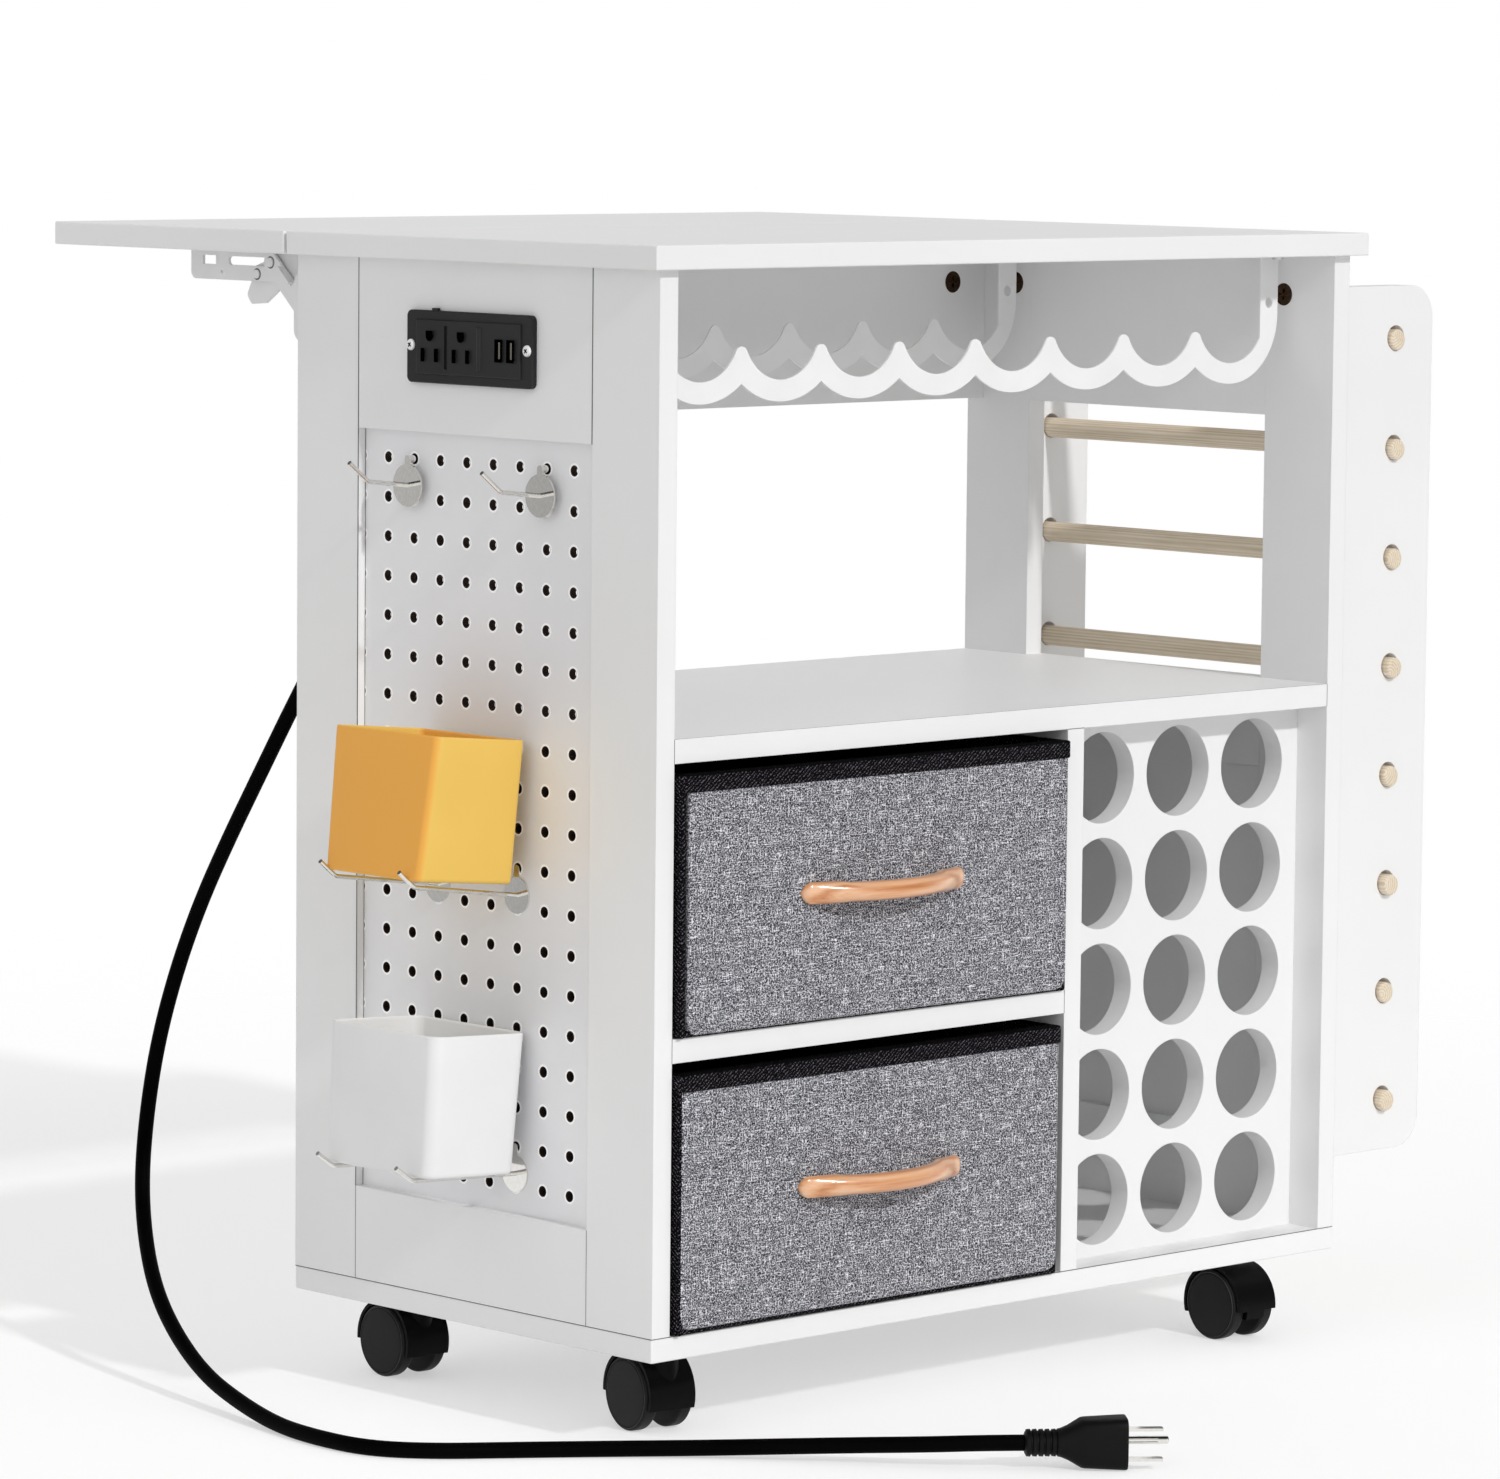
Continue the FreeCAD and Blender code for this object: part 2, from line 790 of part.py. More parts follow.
def drawer(floor):
    """Open fabric box over stiff walls; its rounded front stands a little proud of the carcass."""
    x0 = inner_left + drawer_play
    x1 = divider_x - drawer_play
    y0 = -drawer_proud
    z0 = floor + rest_gap
    outer = rounded(box(x0, x1, y0, y0 + drawer_depth, z0, z0 + drawer_height), drawer_corner, [V(0, 0, 1)])
    w = fabric_wall
    inner = box(x0 + w, x1 - w, y0 + w, y0 + drawer_depth - w, z0 + w, z0 + drawer_height + 1)
    inner = rounded(inner, max(drawer_corner - w, 0.5), [V(0, 0, 1)])
    return outer.cut(inner)


def handle(floor):
    """Bow handle: two flat feet on the drawer front and a bow between them, all edges rounded."""
    x = (inner_left + divider_x) / 2
    y = -drawer_proud
    z = floor + rest_gap + drawer_height / 2 + handle_raise
    half = handle_length / 2
    inner = half - handle_foot
    out = y - handle_reach

    def p(px, py):
        return V(x + px, py, z - handle_height / 2)

    edges = [line(p(-half, y), p(-inner, y)),
             arc(p(-inner, y), p(0, out + handle_thick), p(inner, y)),
             line(p(inner, y), p(half, y)),
             arc(p(half, y), p(0, out), p(-half, y))]
    bow = face_from(edges).extrude(V(0, 0, handle_height))
    outside = [e for e in bow.Edges if e.BoundBox.ZLength < 1e-6 and e.BoundBox.XLength > 1.9 * half]
    return bow.makeFillet(handle_round, outside)


# Leaf brackets. The left ones are built, the right ones are their mirror images.
# From the outside in: wall arm, strut, shelf arm, lever.

wall_x = bracket_inset
strut_x = wall_x + sheet + slip
shelf_x = strut_x + sheet + slip + rivet_head
lever_x = shelf_x + sheet + slip
fold = V(0, carcass_depth + pivot_y, under_top - pivot_z)
wall_pin = V(0, carcass_depth + wall_pin_y, under_top - wall_pin_z)
slot_pin = fold + V(0, slot_start, slot_line)
lever_pin = fold + V(0, lever_pin_y, lever_pin_z)


def plate_in_yz(outline, x, thick):
    """Extrude a face drawn with y and z at x = 0."""
    shape = outline.extrude(V(thick, 0, 0))
    shape.translate(V(x, 0, 0))
    return shape


def disc(centre, x0, x1, radius):
    return rod(V(x0, centre.y, centre.z), V(x1, centre.y, centre.z), radius)


def slot(start, length, half, x0, x1):
    """Through slot with round ends along y."""
    end = start + V(0, length, 0)
    middle = box(x0, x1, start.y, end.y, start.z - half, start.z + half)
    return join([middle, disc(start, x0, x1, half), disc(end, x0, x1, half)])


def wall_arm():
    y0 = carcass_depth
    low = wall_pin.z - wall_web_over
    high = fold.z + wall_web_over
    web = box(wall_x, wall_x + sheet, y0, y0 + wall_web_depth, low, high)
    outer = [e for e in web.Edges if along(e, V(1, 0, 0)) and e.BoundBox.YMin > y0 + 1]
    web = web.makeFillet(lug_r, outer)
    flange = box(wall_x, wall_x + wall_flange_width, y0, y0 + sheet, low - wall_flange_over, high + wall_flange_over)
    return join([web, flange])


def wall_pins():
    """Rivets of the wall arm: the fold pivot reaches the shelf arm, the lower one ends in the strut."""
    outside = wall_x - rivet_head
    inside = shelf_x + sheet + slip / 2
    pivot = join([disc(fold, outside, wall_x, pivot_r + 2), disc(fold, wall_x, inside, pivot_r),
                  disc(fold, inside, inside + rivet_head, pivot_r + 2)])
    lower = join([disc(wall_pin, outside, wall_x, pivot_r + 2), disc(wall_pin, wall_x, strut_x + sheet, pivot_r)])
    return [pivot, lower]


def wall_arm_set():
    arm = wall_arm()
    pins = wall_pins()
    return [cut(arm, [disc(fold, wall_x - 1, wall_x + sheet + 1, pivot_r),
                      disc(wall_pin, wall_x - 1, wall_x + sheet + 1, pivot_r)])] + pins


def shelf_arm():
    y0 = carcass_depth + leaf_gap + arm_start
    y1 = y0 + arm_length
    web = box(shelf_x, shelf_x + sheet, y0, y1, under_top - arm_drop, under_top)
    tip = [e for e in web.Edges if along(e, V(1, 0, 0)) and e.BoundBox.YMin > y1 - 1e-6
           and e.BoundBox.ZMax < under_top - 1]
    web = web.makeFillet(arm_corner, tip)
    lug = join([disc(fold, shelf_x, shelf_x + sheet, lug_r),
                box(shelf_x, shelf_x + sheet, fold.y - lug_r, fold.y + lug_r, fold.z, under_top - arm_drop / 2)])
    flange = box(shelf_x, shelf_x + arm_flange, y0, y1, under_top - sheet, under_top)
    body = join([web, lug, flange])
    x0, x1 = shelf_x - 1, shelf_x + sheet + 1
    window_y = fold.y + window_start
    cuts = [slot(slot_pin, slot_travel, slot_half, x0, x1),
            box(x0, x1, window_y, window_y + window_length, slot_pin.z - window_half, slot_pin.z + window_half),
            disc(fold + V(0, peep_at, peep_drop), x0, x1, peep_r),
            disc(fold, x0, x1, pivot_r + pin_clearance),
            disc(lever_pin, x0, x1, pivot_r)]
    return cut(body, cuts)


def lever_rivet():
    start = shelf_x - rivet_head
    end = lever_x + sheet + slip / 2
    return join([disc(lever_pin, start, shelf_x, pivot_r + 0.4), disc(lever_pin, shelf_x, end, pivot_r),
                 disc(lever_pin, end, end + rivet_head, pivot_r + 1)])


def shelf_arm_set():
    return [shelf_arm(), lever_rivet()]


def strut():
    """Diagonal link from the wall arm's lower rivet to the slot, with a folded lip along its upper edge."""
    way = (slot_pin - wall_pin).normalize()
    up = V(0, -way.z, way.y)
    length = (slot_pin - wall_pin).Length
    a, b = wall_pin + up * strut_half, slot_pin + up * strut_half
    c, d = slot_pin - up * strut_half, wall_pin - up * strut_half
    outline = face_from([line(a, b), arc(b, slot_pin + way * strut_half, c), line(c, d),
                         arc(d, wall_pin - way * strut_half, a)])
    body = plate_in_yz(outline, strut_x, sheet)
    lip_a = wall_pin + way * strut_lip_start + up * strut_half
    lip_b = wall_pin + way * (length - strut_lip_end) + up * strut_half
    lip_face = closed_outline([lip_a, lip_b, lip_b - up * sheet, lip_a - up * sheet])
    lip = plate_in_yz(lip_face, strut_x - strut_lip, strut_lip)
    head = disc(slot_pin, strut_x - rivet_head, strut_x, pivot_r + 0.6)
    whole = join([body, lip, head])
    return whole.cut(disc(wall_pin, strut_x - 1, strut_x + sheet + 1, pivot_r + pin_clearance))


def lever():
    """Release lever: a hook beside the slot pin and a rounded thumb tail under the shelf arm."""
    y, z = lever_pin.y, lever_pin.z

    def p(dy, dz):
        return V(0, y + dy, z + dz)

    tail = lever_tail
    outline = closed_outline([p(-lever_reach, lever_top - 1), p(-lever_reach + 5, lever_top), p(-10, lever_top - 2),
                              p(5, 5), p(8, -4), p(13, -tail + 6), p(8.5, -tail), p(-6, -tail + 1),
                              p(-lever_reach, -4)])
    body = plate_in_yz(outline, lever_x, sheet)
    tips = [e for e in body.Edges if along(e, V(1, 0, 0)) and e.BoundBox.ZMax < z - tail + 7]
    body = body.makeFillet(3.0, tips)
    return body.cut(disc(lever_pin, lever_x - 1, lever_x + sheet + 1, pivot_r + pin_clearance))


def both_sides(shapes):
    return Part.makeCompound(shapes + [mirrored(s) for s in shapes])


# Casters

def caster_axis(corner):
    x = caster_inset_x if corner[1] == "l" else carcass_width - caster_inset_x
    y = caster_inset_y if corner[0] == "f" else carcass_depth - caster_inset_y
    return V(x, y, 0)


def caster_plates():
    """Square plate and bearing ring under each corner of the base."""
    plates = []
    half = mount_plate / 2
    step = mount_hole_pitch / 2
    for corner in caster_angles:
        c = caster_axis(corner)
        low = base_height - mount_thick
        plate = rounded(box(c.x - half, c.x + half, c.y - half, c.y + half, low, base_height), 4.0, [V(0, 0, 1)])
        ring = rod(V(c.x, c.y, low - race_height), V(c.x, c.y, low), race_r)
        holes = []
        for sx in (-step, step):
            for sy in (-step, step):
                holes.append(rod(V(c.x + sx, c.y + sy, low - 1), V(c.x + sx, c.y + sy, base_height + 1), mount_hole_r))
        plates.append(cut(join([plate, ring]), holes))
    return Part.makeCompound(plates)


def placed_caster(shape, corner):
    """Move a shape built around a swivel axis at the origin to its corner, turned as the caster stands."""
    shape.rotate(V(0, 0, 0), V(0, 0, 1), caster_angles[corner])
    shape.translate(caster_axis(corner))
    return shape


def across(y, z, x0, x1, radius):
    return rod(V(x0, y, z), V(x1, y, z), radius)


def caster_hood(corner):
    """Drum-shaped hood over both wheels, a web between them, a swivel neck and the axle."""
    y = caster_trail
    inner = wheel_r + hood_play
    outer = inner + hood_skin
    w = hood_half_width
    shell = across(y, wheel_r, -w, w, outer).cut(across(y, wheel_r, -w - 1, w + 1, inner))
    far = 2 * outer
    shell = shell.cut(box(-w - 1, w + 1, y - far, y, -far, wheel_r - hood_low_front))
    shell = shell.cut(box(-w - 1, w + 1, y, y + far, -far, wheel_r - hood_low_back))
    web = across(y, wheel_r, -web_half_width, web_half_width, inner + hood_skin / 2)
    web = web.cut(box(-w, w, y - far, y + far, -far, wheel_r - axle_r - 4))
    neck_top = base_height - mount_thick - race_height - rest_gap
    neck = rod(V(0, 0, wheel_r), V(0, 0, neck_top), neck_r)
    for side in (-1, 1):
        neck = neck.cut(across(y, wheel_r, side * web_half_width, side * (w + 1), inner))
    axle_end = wheel_gap_half + wheel_width - 3
    axle = across(y, wheel_r, -axle_end, axle_end, axle_r)
    return placed_caster(join([shell, web, neck, axle]), corner)


def caster_wheels(corner):
    """Two wheels that turn together: rounded treads, a shallow dished outer face, a blind axle bore."""
    y = caster_trail
    wheels = []
    for side in (-1, 1):
        x0 = side * wheel_gap_half
        x1 = side * (wheel_gap_half + wheel_width)
        wheel = across(y, wheel_r, x0, x1, wheel_r)
        rims = [e for e in wheel.Edges if isinstance(e.Curve, Part.Circle)]
        wheel = wheel.makeFillet(wheel_round, rims)
        dish = across(y, wheel_r, x1 - side * hub_dish, x1 + side, wheel_r - 4)
        bore = across(y, wheel_r, x0 - side, x1 - side * 2.5, axle_r + axle_play)
        wheels.append(cut(wheel, [dish, bore]))
    return placed_caster(Part.makeCompound(wheels), corner)


# Hooks and bins on the pegboard

def hook_root(column, row, drop):
    """Middle of a hook's round base plate, a little under halfway between two rows of holes."""
    return peg_point(column, row + 0.5, peg_face) - V(0, 0, drop)


def hook_holes(column, row):
    return [peg_point(column, row + step, peg_face) for step in (0, 1)]


def hook(root, holes, lean, reach, tip, disc_r, stand):
    """Wire hook with a round base plate, and a strip with two prongs through the holes above and below."""
    tilt = math.radians(lean)
    steep = math.radians(lean + hook_bend)
    out = V(-math.cos(tilt), 0, math.sin(tilt))
    up = V(-math.cos(steep), 0, math.sin(steep))
    start = root - V(hook_disc / 2, 0, 0)
    corner = root + out * reach
    tangent = hook_bend_r * math.tan((steep - tilt) / 2)
    before = corner - out * tangent
    after = corner + up * tangent
    inner = (up - out).normalize() * (hook_bend_r / math.cos((steep - tilt) / 2) - hook_bend_r)
    path = Part.Wire([line(start, before), arc(before, corner + inner, after), line(after, corner + up * tip)])
    section = Part.Wire(Part.makeCircle(wire_r, start, out))
    wire = path.makePipeShell([section], True, True)
    shapes = [wire, rod(root - V(hook_disc, 0, 0), root, disc_r)]
    shapes.append(box(root.x - hook_disc, root.x, root.y - prong_r, root.y + prong_r, holes[1].z, holes[0].z))
    for hole in holes:
        shapes.append(rod(hole - V(hook_disc + stand, 0, 0), hole + V(thin_panel + 1, 0, 0), prong_r))
    return join(shapes)


def peg_hooks():
    """Two single hooks that stand off the board, and a pair under each bin."""
    hooks = []
    for column in top_hook_columns:
        root = hook_root(column, top_hook_row, top_hook_drop) - V(short_stand, 0, 0)
        hooks.append(hook(root, hook_holes(column, top_hook_row), top_hook_tilt, short_reach, short_tip,
                          hook_disc_r, short_stand))
    for row, drop, lean in ((upper_bin_row, upper_bin_drop, upper_hook_tilt),
                            (lower_bin_row, lower_bin_drop, lower_hook_tilt)):
        for column in bin_hook_columns:
            hooks.append(hook(hook_root(column, row, drop), hook_holes(column, row), lean, long_reach, long_tip,
                              bin_disc_r, 0.0))
    return Part.makeCompound(hooks)


def bin_loft(grow, low, high):
    """Tapered box with rounded upright edges, drawn upright with its back low edge at the origin."""
    wires = []
    for z in (low, high):
        spread = bin_taper * (z / bin_height)
        x0 = -bin_depth - spread - grow
        x1 = spread + grow
        half = bin_width / 2 - bin_taper + spread + grow
        slab = box(x0, x1, -half, half, z, z + 1)
        uprights = [e for e in slab.Edges if along(e, V(0, 0, 1))]
        slab = slab.makeFillet(bin_corner + grow, [e for e in uprights if e.BoundBox.XMin < x0 + 1])
        uprights = [e for e in slab.Edges if along(e, V(0, 0, 1)) and e.BoundBox.XMin > x1 - 1e-6]
        slab = slab.makeFillet(bin_inner_corner + grow, uprights)
        wires.append(min(slab.Faces, key=lambda f: f.CenterOfMass.z).OuterWire)
    solid = Part.makeLoft(wires, True, True)
    foot = [e for e in solid.Edges if e.BoundBox.ZMax < low + 1e-6]
    return solid.makeFillet(max(bin_edge + grow, bin_edge / 2), foot)


def bin_place(row, drop, wire_lean, bin_lean):
    """Back low edge of a bin with its rim against the pegboard and its foot on its hooks, straight or raised part."""
    roots = [hook_root(column, row, drop) for column in bin_hook_columns]
    middle = (roots[0] + roots[1]) * 0.5
    tilt = math.radians(bin_lean)
    slope = math.radians(wire_lean)
    x = peg_face - rest_gap - bin_taper * math.cos(tilt) - bin_height * math.sin(tilt)
    outer = x - bin_depth * math.cos(tilt)
    on_straight = middle.z + (peg_face - outer) * math.tan(slope) + (wire_r + rest_gap) / math.cos(slope)
    on_straight -= bin_depth * math.sin(tilt)
    steep = math.radians(wire_lean + hook_bend)
    bend = V(peg_face - long_reach * math.cos(slope), middle.y, middle.z + long_reach * math.sin(slope))
    edge_x = x - (bin_depth - bin_edge) * math.cos(tilt) + bin_edge * math.sin(tilt)
    clear = wire_r + bin_edge + rest_gap
    edge_z = bend.z + (clear - (edge_x - bend.x) * math.sin(steep)) / math.cos(steep)
    on_raised = edge_z - (bin_depth - bin_edge) * math.sin(tilt) - bin_edge * math.cos(tilt)
    return V(x, middle.y, max(on_straight, on_raised))


def storage_bin(row, drop, wire_lean, bin_lean):
    outer = bin_loft(0, 0, bin_height)
    inner = bin_loft(-bin_wall, bin_wall, bin_height + 1)
    shape = outer.cut(inner)
    shape.rotate(V(0, 0, 0), V(0, 1, 0), bin_lean)
    shape.translate(bin_place(row, drop, wire_lean, bin_lean))
    return shape


# Fasteners

def crossed_head(centre, way, radius, height):
    """Low screw head with a cross recess, standing on a face whose outward normal is way."""
    head = rod(centre, centre + way * height, radius)
    side = V(way.y, way.z, way.x)
    other = way.cross(side)
    bars = []
    for across_way, along_way in ((side, other), (other, side)):
        half_l, half_w = radius * 0.6, radius * 0.14
        corners = [centre + way * height * 0.5 + along_way * (half_l * i) + across_way * (half_w * j)
                   for i, j in ((-1, -1), (1, -1), (1, 1), (-1, 1))]
        bars.append(closed_outline(corners).extrude(way * height))
    return cut(head, bars)


def cam_lock(pocket, way):
    centre = pocket.CenterOfMass - way * cam_depth / 2
    cam = rod(centre, centre + way * cam_depth, cam_r)
    bar = crossed_head(centre + way * 2, V(-way.x, -way.y, -way.z), cam_r * 0.9, 2.0)
    well = rod(centre, centre + way * 2, cam_r * 0.9)
    return join([cam.cut(well), bar])


def cam_locks():
    sides = [cam_lock(pocket, V(-1, 0, 0)) for pocket in left_cams()]
    backs = [cam_lock(pocket, V(0, 1, 0)) for pocket in back_cams()]
    return Part.makeCompound(sides + [mirrored(s) for s in sides] + backs)


def screws():
    pieces = []
    down = V(0, 0, -1)
    for y in (rack_front_y, rack_rear_y):
        for x in rack_uprights():
            pieces.append(crossed_head(V(x, y - rack_tab / 2, under_top - rack_sheet), down, screw_head_r, screw_head))
    low = wall_pin.z - wall_web_over - wall_flange_over
    high = fold.z + wall_web_over + wall_flange_over
    wall_screws = []
    for z in (low + 6, (low + high) / 2, high - 6):
        at = V(wall_x + wall_flange_width - 6, carcass_depth + sheet, z)
        wall_screws.append(crossed_head(at, V(0, 1, 0), screw_head_r - 0.5, screw_head))
    pieces += wall_screws + [mirrored(s) for s in wall_screws]
    return Part.makeCompound(pieces + outlet_screws())


# Footprint centre, measured without the cord and its plug

def hook_tip_x(lean):
    tilt = math.radians(lean)
    steep = math.radians(lean + hook_bend)
    return peg_face - long_reach * math.cos(tilt) - long_tip * math.cos(steep) - wire_r * math.sin(steep)


centre_x = (min(hook_tip_x(upper_hook_tilt), hook_tip_x(lower_hook_tilt)) + ear_outer) / 2
centre_y = (-drawer_proud - handle_reach + carcass_depth + leaf_gap + leaf_depth) / 2


def pieces():
    made = {
        "top_board": top_board(),
        "leaf_board": leaf_board(),
        "base_board": base_board(),
        "middle_shelf": middle_shelf(),
        "drawer_shelf": drawer_shelf(),
        "divider": divider(),
        "left_front_stile": front_stile(low_rail_top, top_rail_low),
        "left_rear_stile": rear_stile(low_rail_top, top_rail_low),
        "left_top_rail": left_top_rail(),
        "left_bottom_rail": left_bottom_rail(),
        "pegboard": pegboard(),
        "right_front_stile": right_front_stile(),
        "right_rear_stile": right_rear_stile(),
        "right_top_rail": right_top_rail(),
        "right_lower_rails": right_lower_rails(),
        "right_lower_panel": right_lower_panel(),
        "back_top_rail": back_top_rail(),
        "back_panel": back_panel(),
        "roll_grid_front": roll_grid(grid_inset),
        "roll_grid_rear": roll_grid(back_panel_y - grid_inset - board),
        "roll_rack_front": roll_rack(rack_front_y),
        "roll_rack_rear": roll_rack(rack_rear_y),
        "ear_board_front": ear_board(ear_inset),
        "ear_board_rear": ear_board(carcass_depth - ear_inset - board),
        "outlet_faceplate": outlet_faceplate(),
        "outlet_housing": outlet_housing(),
        "cord_gland": cord_gland(),
        "power_cord": power_cord(),
        "plug_body": plug_body(),
        "plug_pins": plug_pins(),
        "drawer_upper": drawer(low_shelf_top),
        "drawer_lower": drawer(base_top),
        "handle_upper": handle(low_shelf_top),
        "handle_lower": handle(base_top),
        "bracket_wall_arms": both_sides(wall_arm_set()),
        "bracket_shelf_arms": both_sides(shelf_arm_set()),
        "bracket_struts": both_sides([strut()]),
        "bracket_levers": both_sides([lever()]),
        "caster_plates": caster_plates(),
        "peg_hooks": peg_hooks(),
        "cam_locks": cam_locks(),
        "screws": screws(),
    }
    for i in range(dowel_count):
        made["dowel_%d" % (i + 1)] = dowel(i)
    for corner in caster_angles:
        made["caster_hood_" + corner] = caster_hood(corner)
        made["caster_wheels_" + corner] = caster_wheels(corner)
    made["bin_upper"] = storage_bin(upper_bin_row, upper_bin_drop, upper_hook_tilt, upper_bin_tilt)
    made["bin_lower"] = storage_bin(lower_bin_row, lower_bin_drop, lower_hook_tilt, lower_bin_tilt)
    return made


def main():
    os.makedirs("parts", exist_ok=True)
    for name, shape in pieces().items():
        shape.translate(V(-centre_x, -centre_y, 0))
        if not shape.isValid():
            print("not valid:", name)
        shape.exportStep("parts/" + name + ".step")


main()
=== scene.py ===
"""Rolling craft cart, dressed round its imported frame.

Lengths are written in millimetres in the cabinet's own directions: x from the left face of the carcass to the
right, y from its front edge to the back, z up from the floor. to_frame turns them into the frame's metres.
"""

import bpy
import bmesh
import math
import numpy as np
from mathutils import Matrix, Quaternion, Vector


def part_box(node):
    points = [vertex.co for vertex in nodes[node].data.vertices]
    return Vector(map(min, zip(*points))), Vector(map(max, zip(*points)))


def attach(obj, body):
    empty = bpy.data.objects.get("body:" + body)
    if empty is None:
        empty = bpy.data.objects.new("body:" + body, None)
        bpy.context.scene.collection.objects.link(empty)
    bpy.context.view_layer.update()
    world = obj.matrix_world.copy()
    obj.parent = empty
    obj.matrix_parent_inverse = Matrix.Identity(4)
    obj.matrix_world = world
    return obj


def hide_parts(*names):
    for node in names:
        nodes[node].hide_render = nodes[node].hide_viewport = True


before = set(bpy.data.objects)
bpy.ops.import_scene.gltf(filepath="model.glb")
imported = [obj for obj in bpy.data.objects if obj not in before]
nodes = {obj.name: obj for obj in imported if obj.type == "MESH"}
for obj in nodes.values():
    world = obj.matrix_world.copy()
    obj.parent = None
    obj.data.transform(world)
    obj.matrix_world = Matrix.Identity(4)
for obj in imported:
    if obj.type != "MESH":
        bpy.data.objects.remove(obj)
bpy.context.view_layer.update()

# Places are read from the frame: the base board's low corner is the cabinet's own zero in x and y

CORNER = np.array((*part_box("base_board")[0][:2], 0.0), float)


def to_frame(points):
    """Cabinet millimetres to frame metres: divide by a thousand and add the cabinet's corner."""
    return np.asarray(points, float) / 1000.0 + CORNER


def spot(x, y, z):
    return Vector(to_frame((x, y, z)))


def box_mm(node):
    """A node's box at rest in cabinet millimetres: its two ends in x, in y and in z."""
    low, high = [(np.array(corner, float) - CORNER) * 1000.0 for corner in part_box(node)]
    return tuple(zip(low, high))


def middle_mm(node):
    """The middle of a node's box at rest, in cabinet millimetres."""
    return [(low + high) / 2 for low, high in box_mm(node)]


def full_turn(count):
    """Even angles once round, the last one a step short of the first."""
    return np.linspace(0, 2 * math.pi, count, endpoint=False)


def put(name, data):
    """A new object in the scene."""
    made = bpy.data.objects.new(name, data)
    bpy.context.scene.collection.objects.link(made)
    return made


(_, WIDTH), (_, DEPTH), (BASE_LOW, BASE_TOP) = box_mm("base_board")
BOARD = BASE_TOP - BASE_LOW
STILE = box_mm("left_front_stile")[1][1]
RECESS = box_mm("pegboard")[0][0]
RAIL_LOW, UNDER_TOP = box_mm("left_top_rail")[2]
LOW_RAIL_TOP = box_mm("left_bottom_rail")[2][1]
LOW_SHELF, LOW_SHELF_TOP = box_mm("drawer_shelf")[2]
MID_SHELF, MID_SHELF_TOP = box_mm("middle_shelf")[2]
DIVIDER_X = box_mm("divider")[0][0]
PANEL_RAIL_LOW = 381.0


# Camera at the photograph's place, turned and slightly rolled to frame the cart without a shift

YAW, PITCH, ROLL = (math.radians(degrees) for degrees in (43.562, -5.792, 0.544))
SENSOR = 36.0
PHOTO_WIDTH, FOCAL_LENGTH = 1500, 6825.9        # in the photograph's pixels


def make_camera():
    data = bpy.data.cameras.new("photo_camera")
    camera = put("photo_camera", data)
    ahead = Vector((math.sin(YAW) * math.cos(PITCH), math.cos(YAW) * math.cos(PITCH), math.sin(PITCH)))
    camera.location = spot(-2793.9, -3020.0, 859.9)
    camera.rotation_mode = "QUATERNION"
    camera.rotation_quaternion = ahead.to_track_quat("-Z", "Y") @ Quaternion((0.0, 0.0, 1.0), ROLL)
    data.sensor_width = SENSOR
    data.lens = FOCAL_LENGTH / PHOTO_WIDTH * SENSOR
    data.clip_start, data.clip_end = 0.1, 60
    bpy.context.scene.camera = camera


make_camera()


# Colours and nodes

def linear(code):
    """sRGB hex to linear light: the standard curve, channel by channel."""
    value = np.array([int(code[i:i + 2], 16) for i in (1, 3, 5)]) / 255
    curved = np.where(value <= 0.04045, value / 12.92, ((value + 0.055) / 1.055) ** 2.4)
    return (*[float(v) for v in curved], 1.0)


def add(tree, kind, inputs=(), stops=(), **settings):
    """Add a shader node with its settings. An input gets a value, a socket, or another node's first output.

    A colour ramp also gets its stops, each a place and a hex colour."""
    made = tree.nodes.new("ShaderNode" + kind)
    for key, value in settings.items():
        setattr(made, key, value)
    for key, value in dict(inputs).items():
        if isinstance(value, bpy.types.Node):
            value = value.outputs[0]
        if isinstance(value, bpy.types.NodeSocket):
            tree.links.new(value, made.inputs[key])
        else:
            made.inputs[key].default_value = value
    for i, (place, code) in enumerate(stops):
        band = made.color_ramp.elements
        step = band[i] if i < 2 else band.new(place)
        step.position, step.color = place, linear(code)
    return made


def blank(name):
    material = bpy.data.materials.new(name)
    material.use_nodes = True
    material.node_tree.nodes.clear()
    return material, material.node_tree


# Materials, each named for the real finish or for the painted shade or highlight it carries

def coated(name, low, high, mottle, gloss, grain, depth, corner):
    """Satin white coat: melamine paper pressed on board, faintly pebbled, or stoved enamel with orange peel.

    Mottle and grain are noises, each a scale and a detail. The mottle tints the coat and roughens it by gloss,
    its share and then the least roughness. The eased corner catches a thin light line along every edge."""
    material, tree = blank(name)
    place = add(tree, "TexCoord").outputs["Object"]
    cloud = add(tree, "TexNoise", {"Vector": place, "Scale": mottle[0], "Detail": mottle[1]})
    colour = add(tree, "ValToRGB", {0: cloud}, stops=((0.3, low), (0.7, high)))
    sheen = add(tree, "Math", {0: cloud, 1: gloss[0], 2: gloss[1]}, operation="MULTIPLY_ADD")
    pebble = add(tree, "TexNoise", {"Vector": place, "Scale": grain[0], "Detail": grain[1]})
    edge = add(tree, "Bevel", {"Radius": corner}, samples=4)
    relief = add(tree, "Bump", {"Height": pebble, "Distance": depth, "Normal": edge})
    skin = add(tree, "BsdfPrincipled", {"Base Color": colour, "Roughness": sheen, "IOR": 1.5,
                                        "Normal": relief})
    add(tree, "OutputMaterial", {"Surface": skin})
    return material


PEG_PITCH = 0.025
PEG_HOLE = 0.0032
MOUTH_FADE = PEG_HOLE + 0.0002, PEG_HOLE + 0.0004       # from brown fibre to the white lip
# The lip ring is painted highlight, fading out over this span
LIP_FADE = PEG_HOLE + 0.0012, PEG_HOLE + 0.0018         # from the lip to the plain face


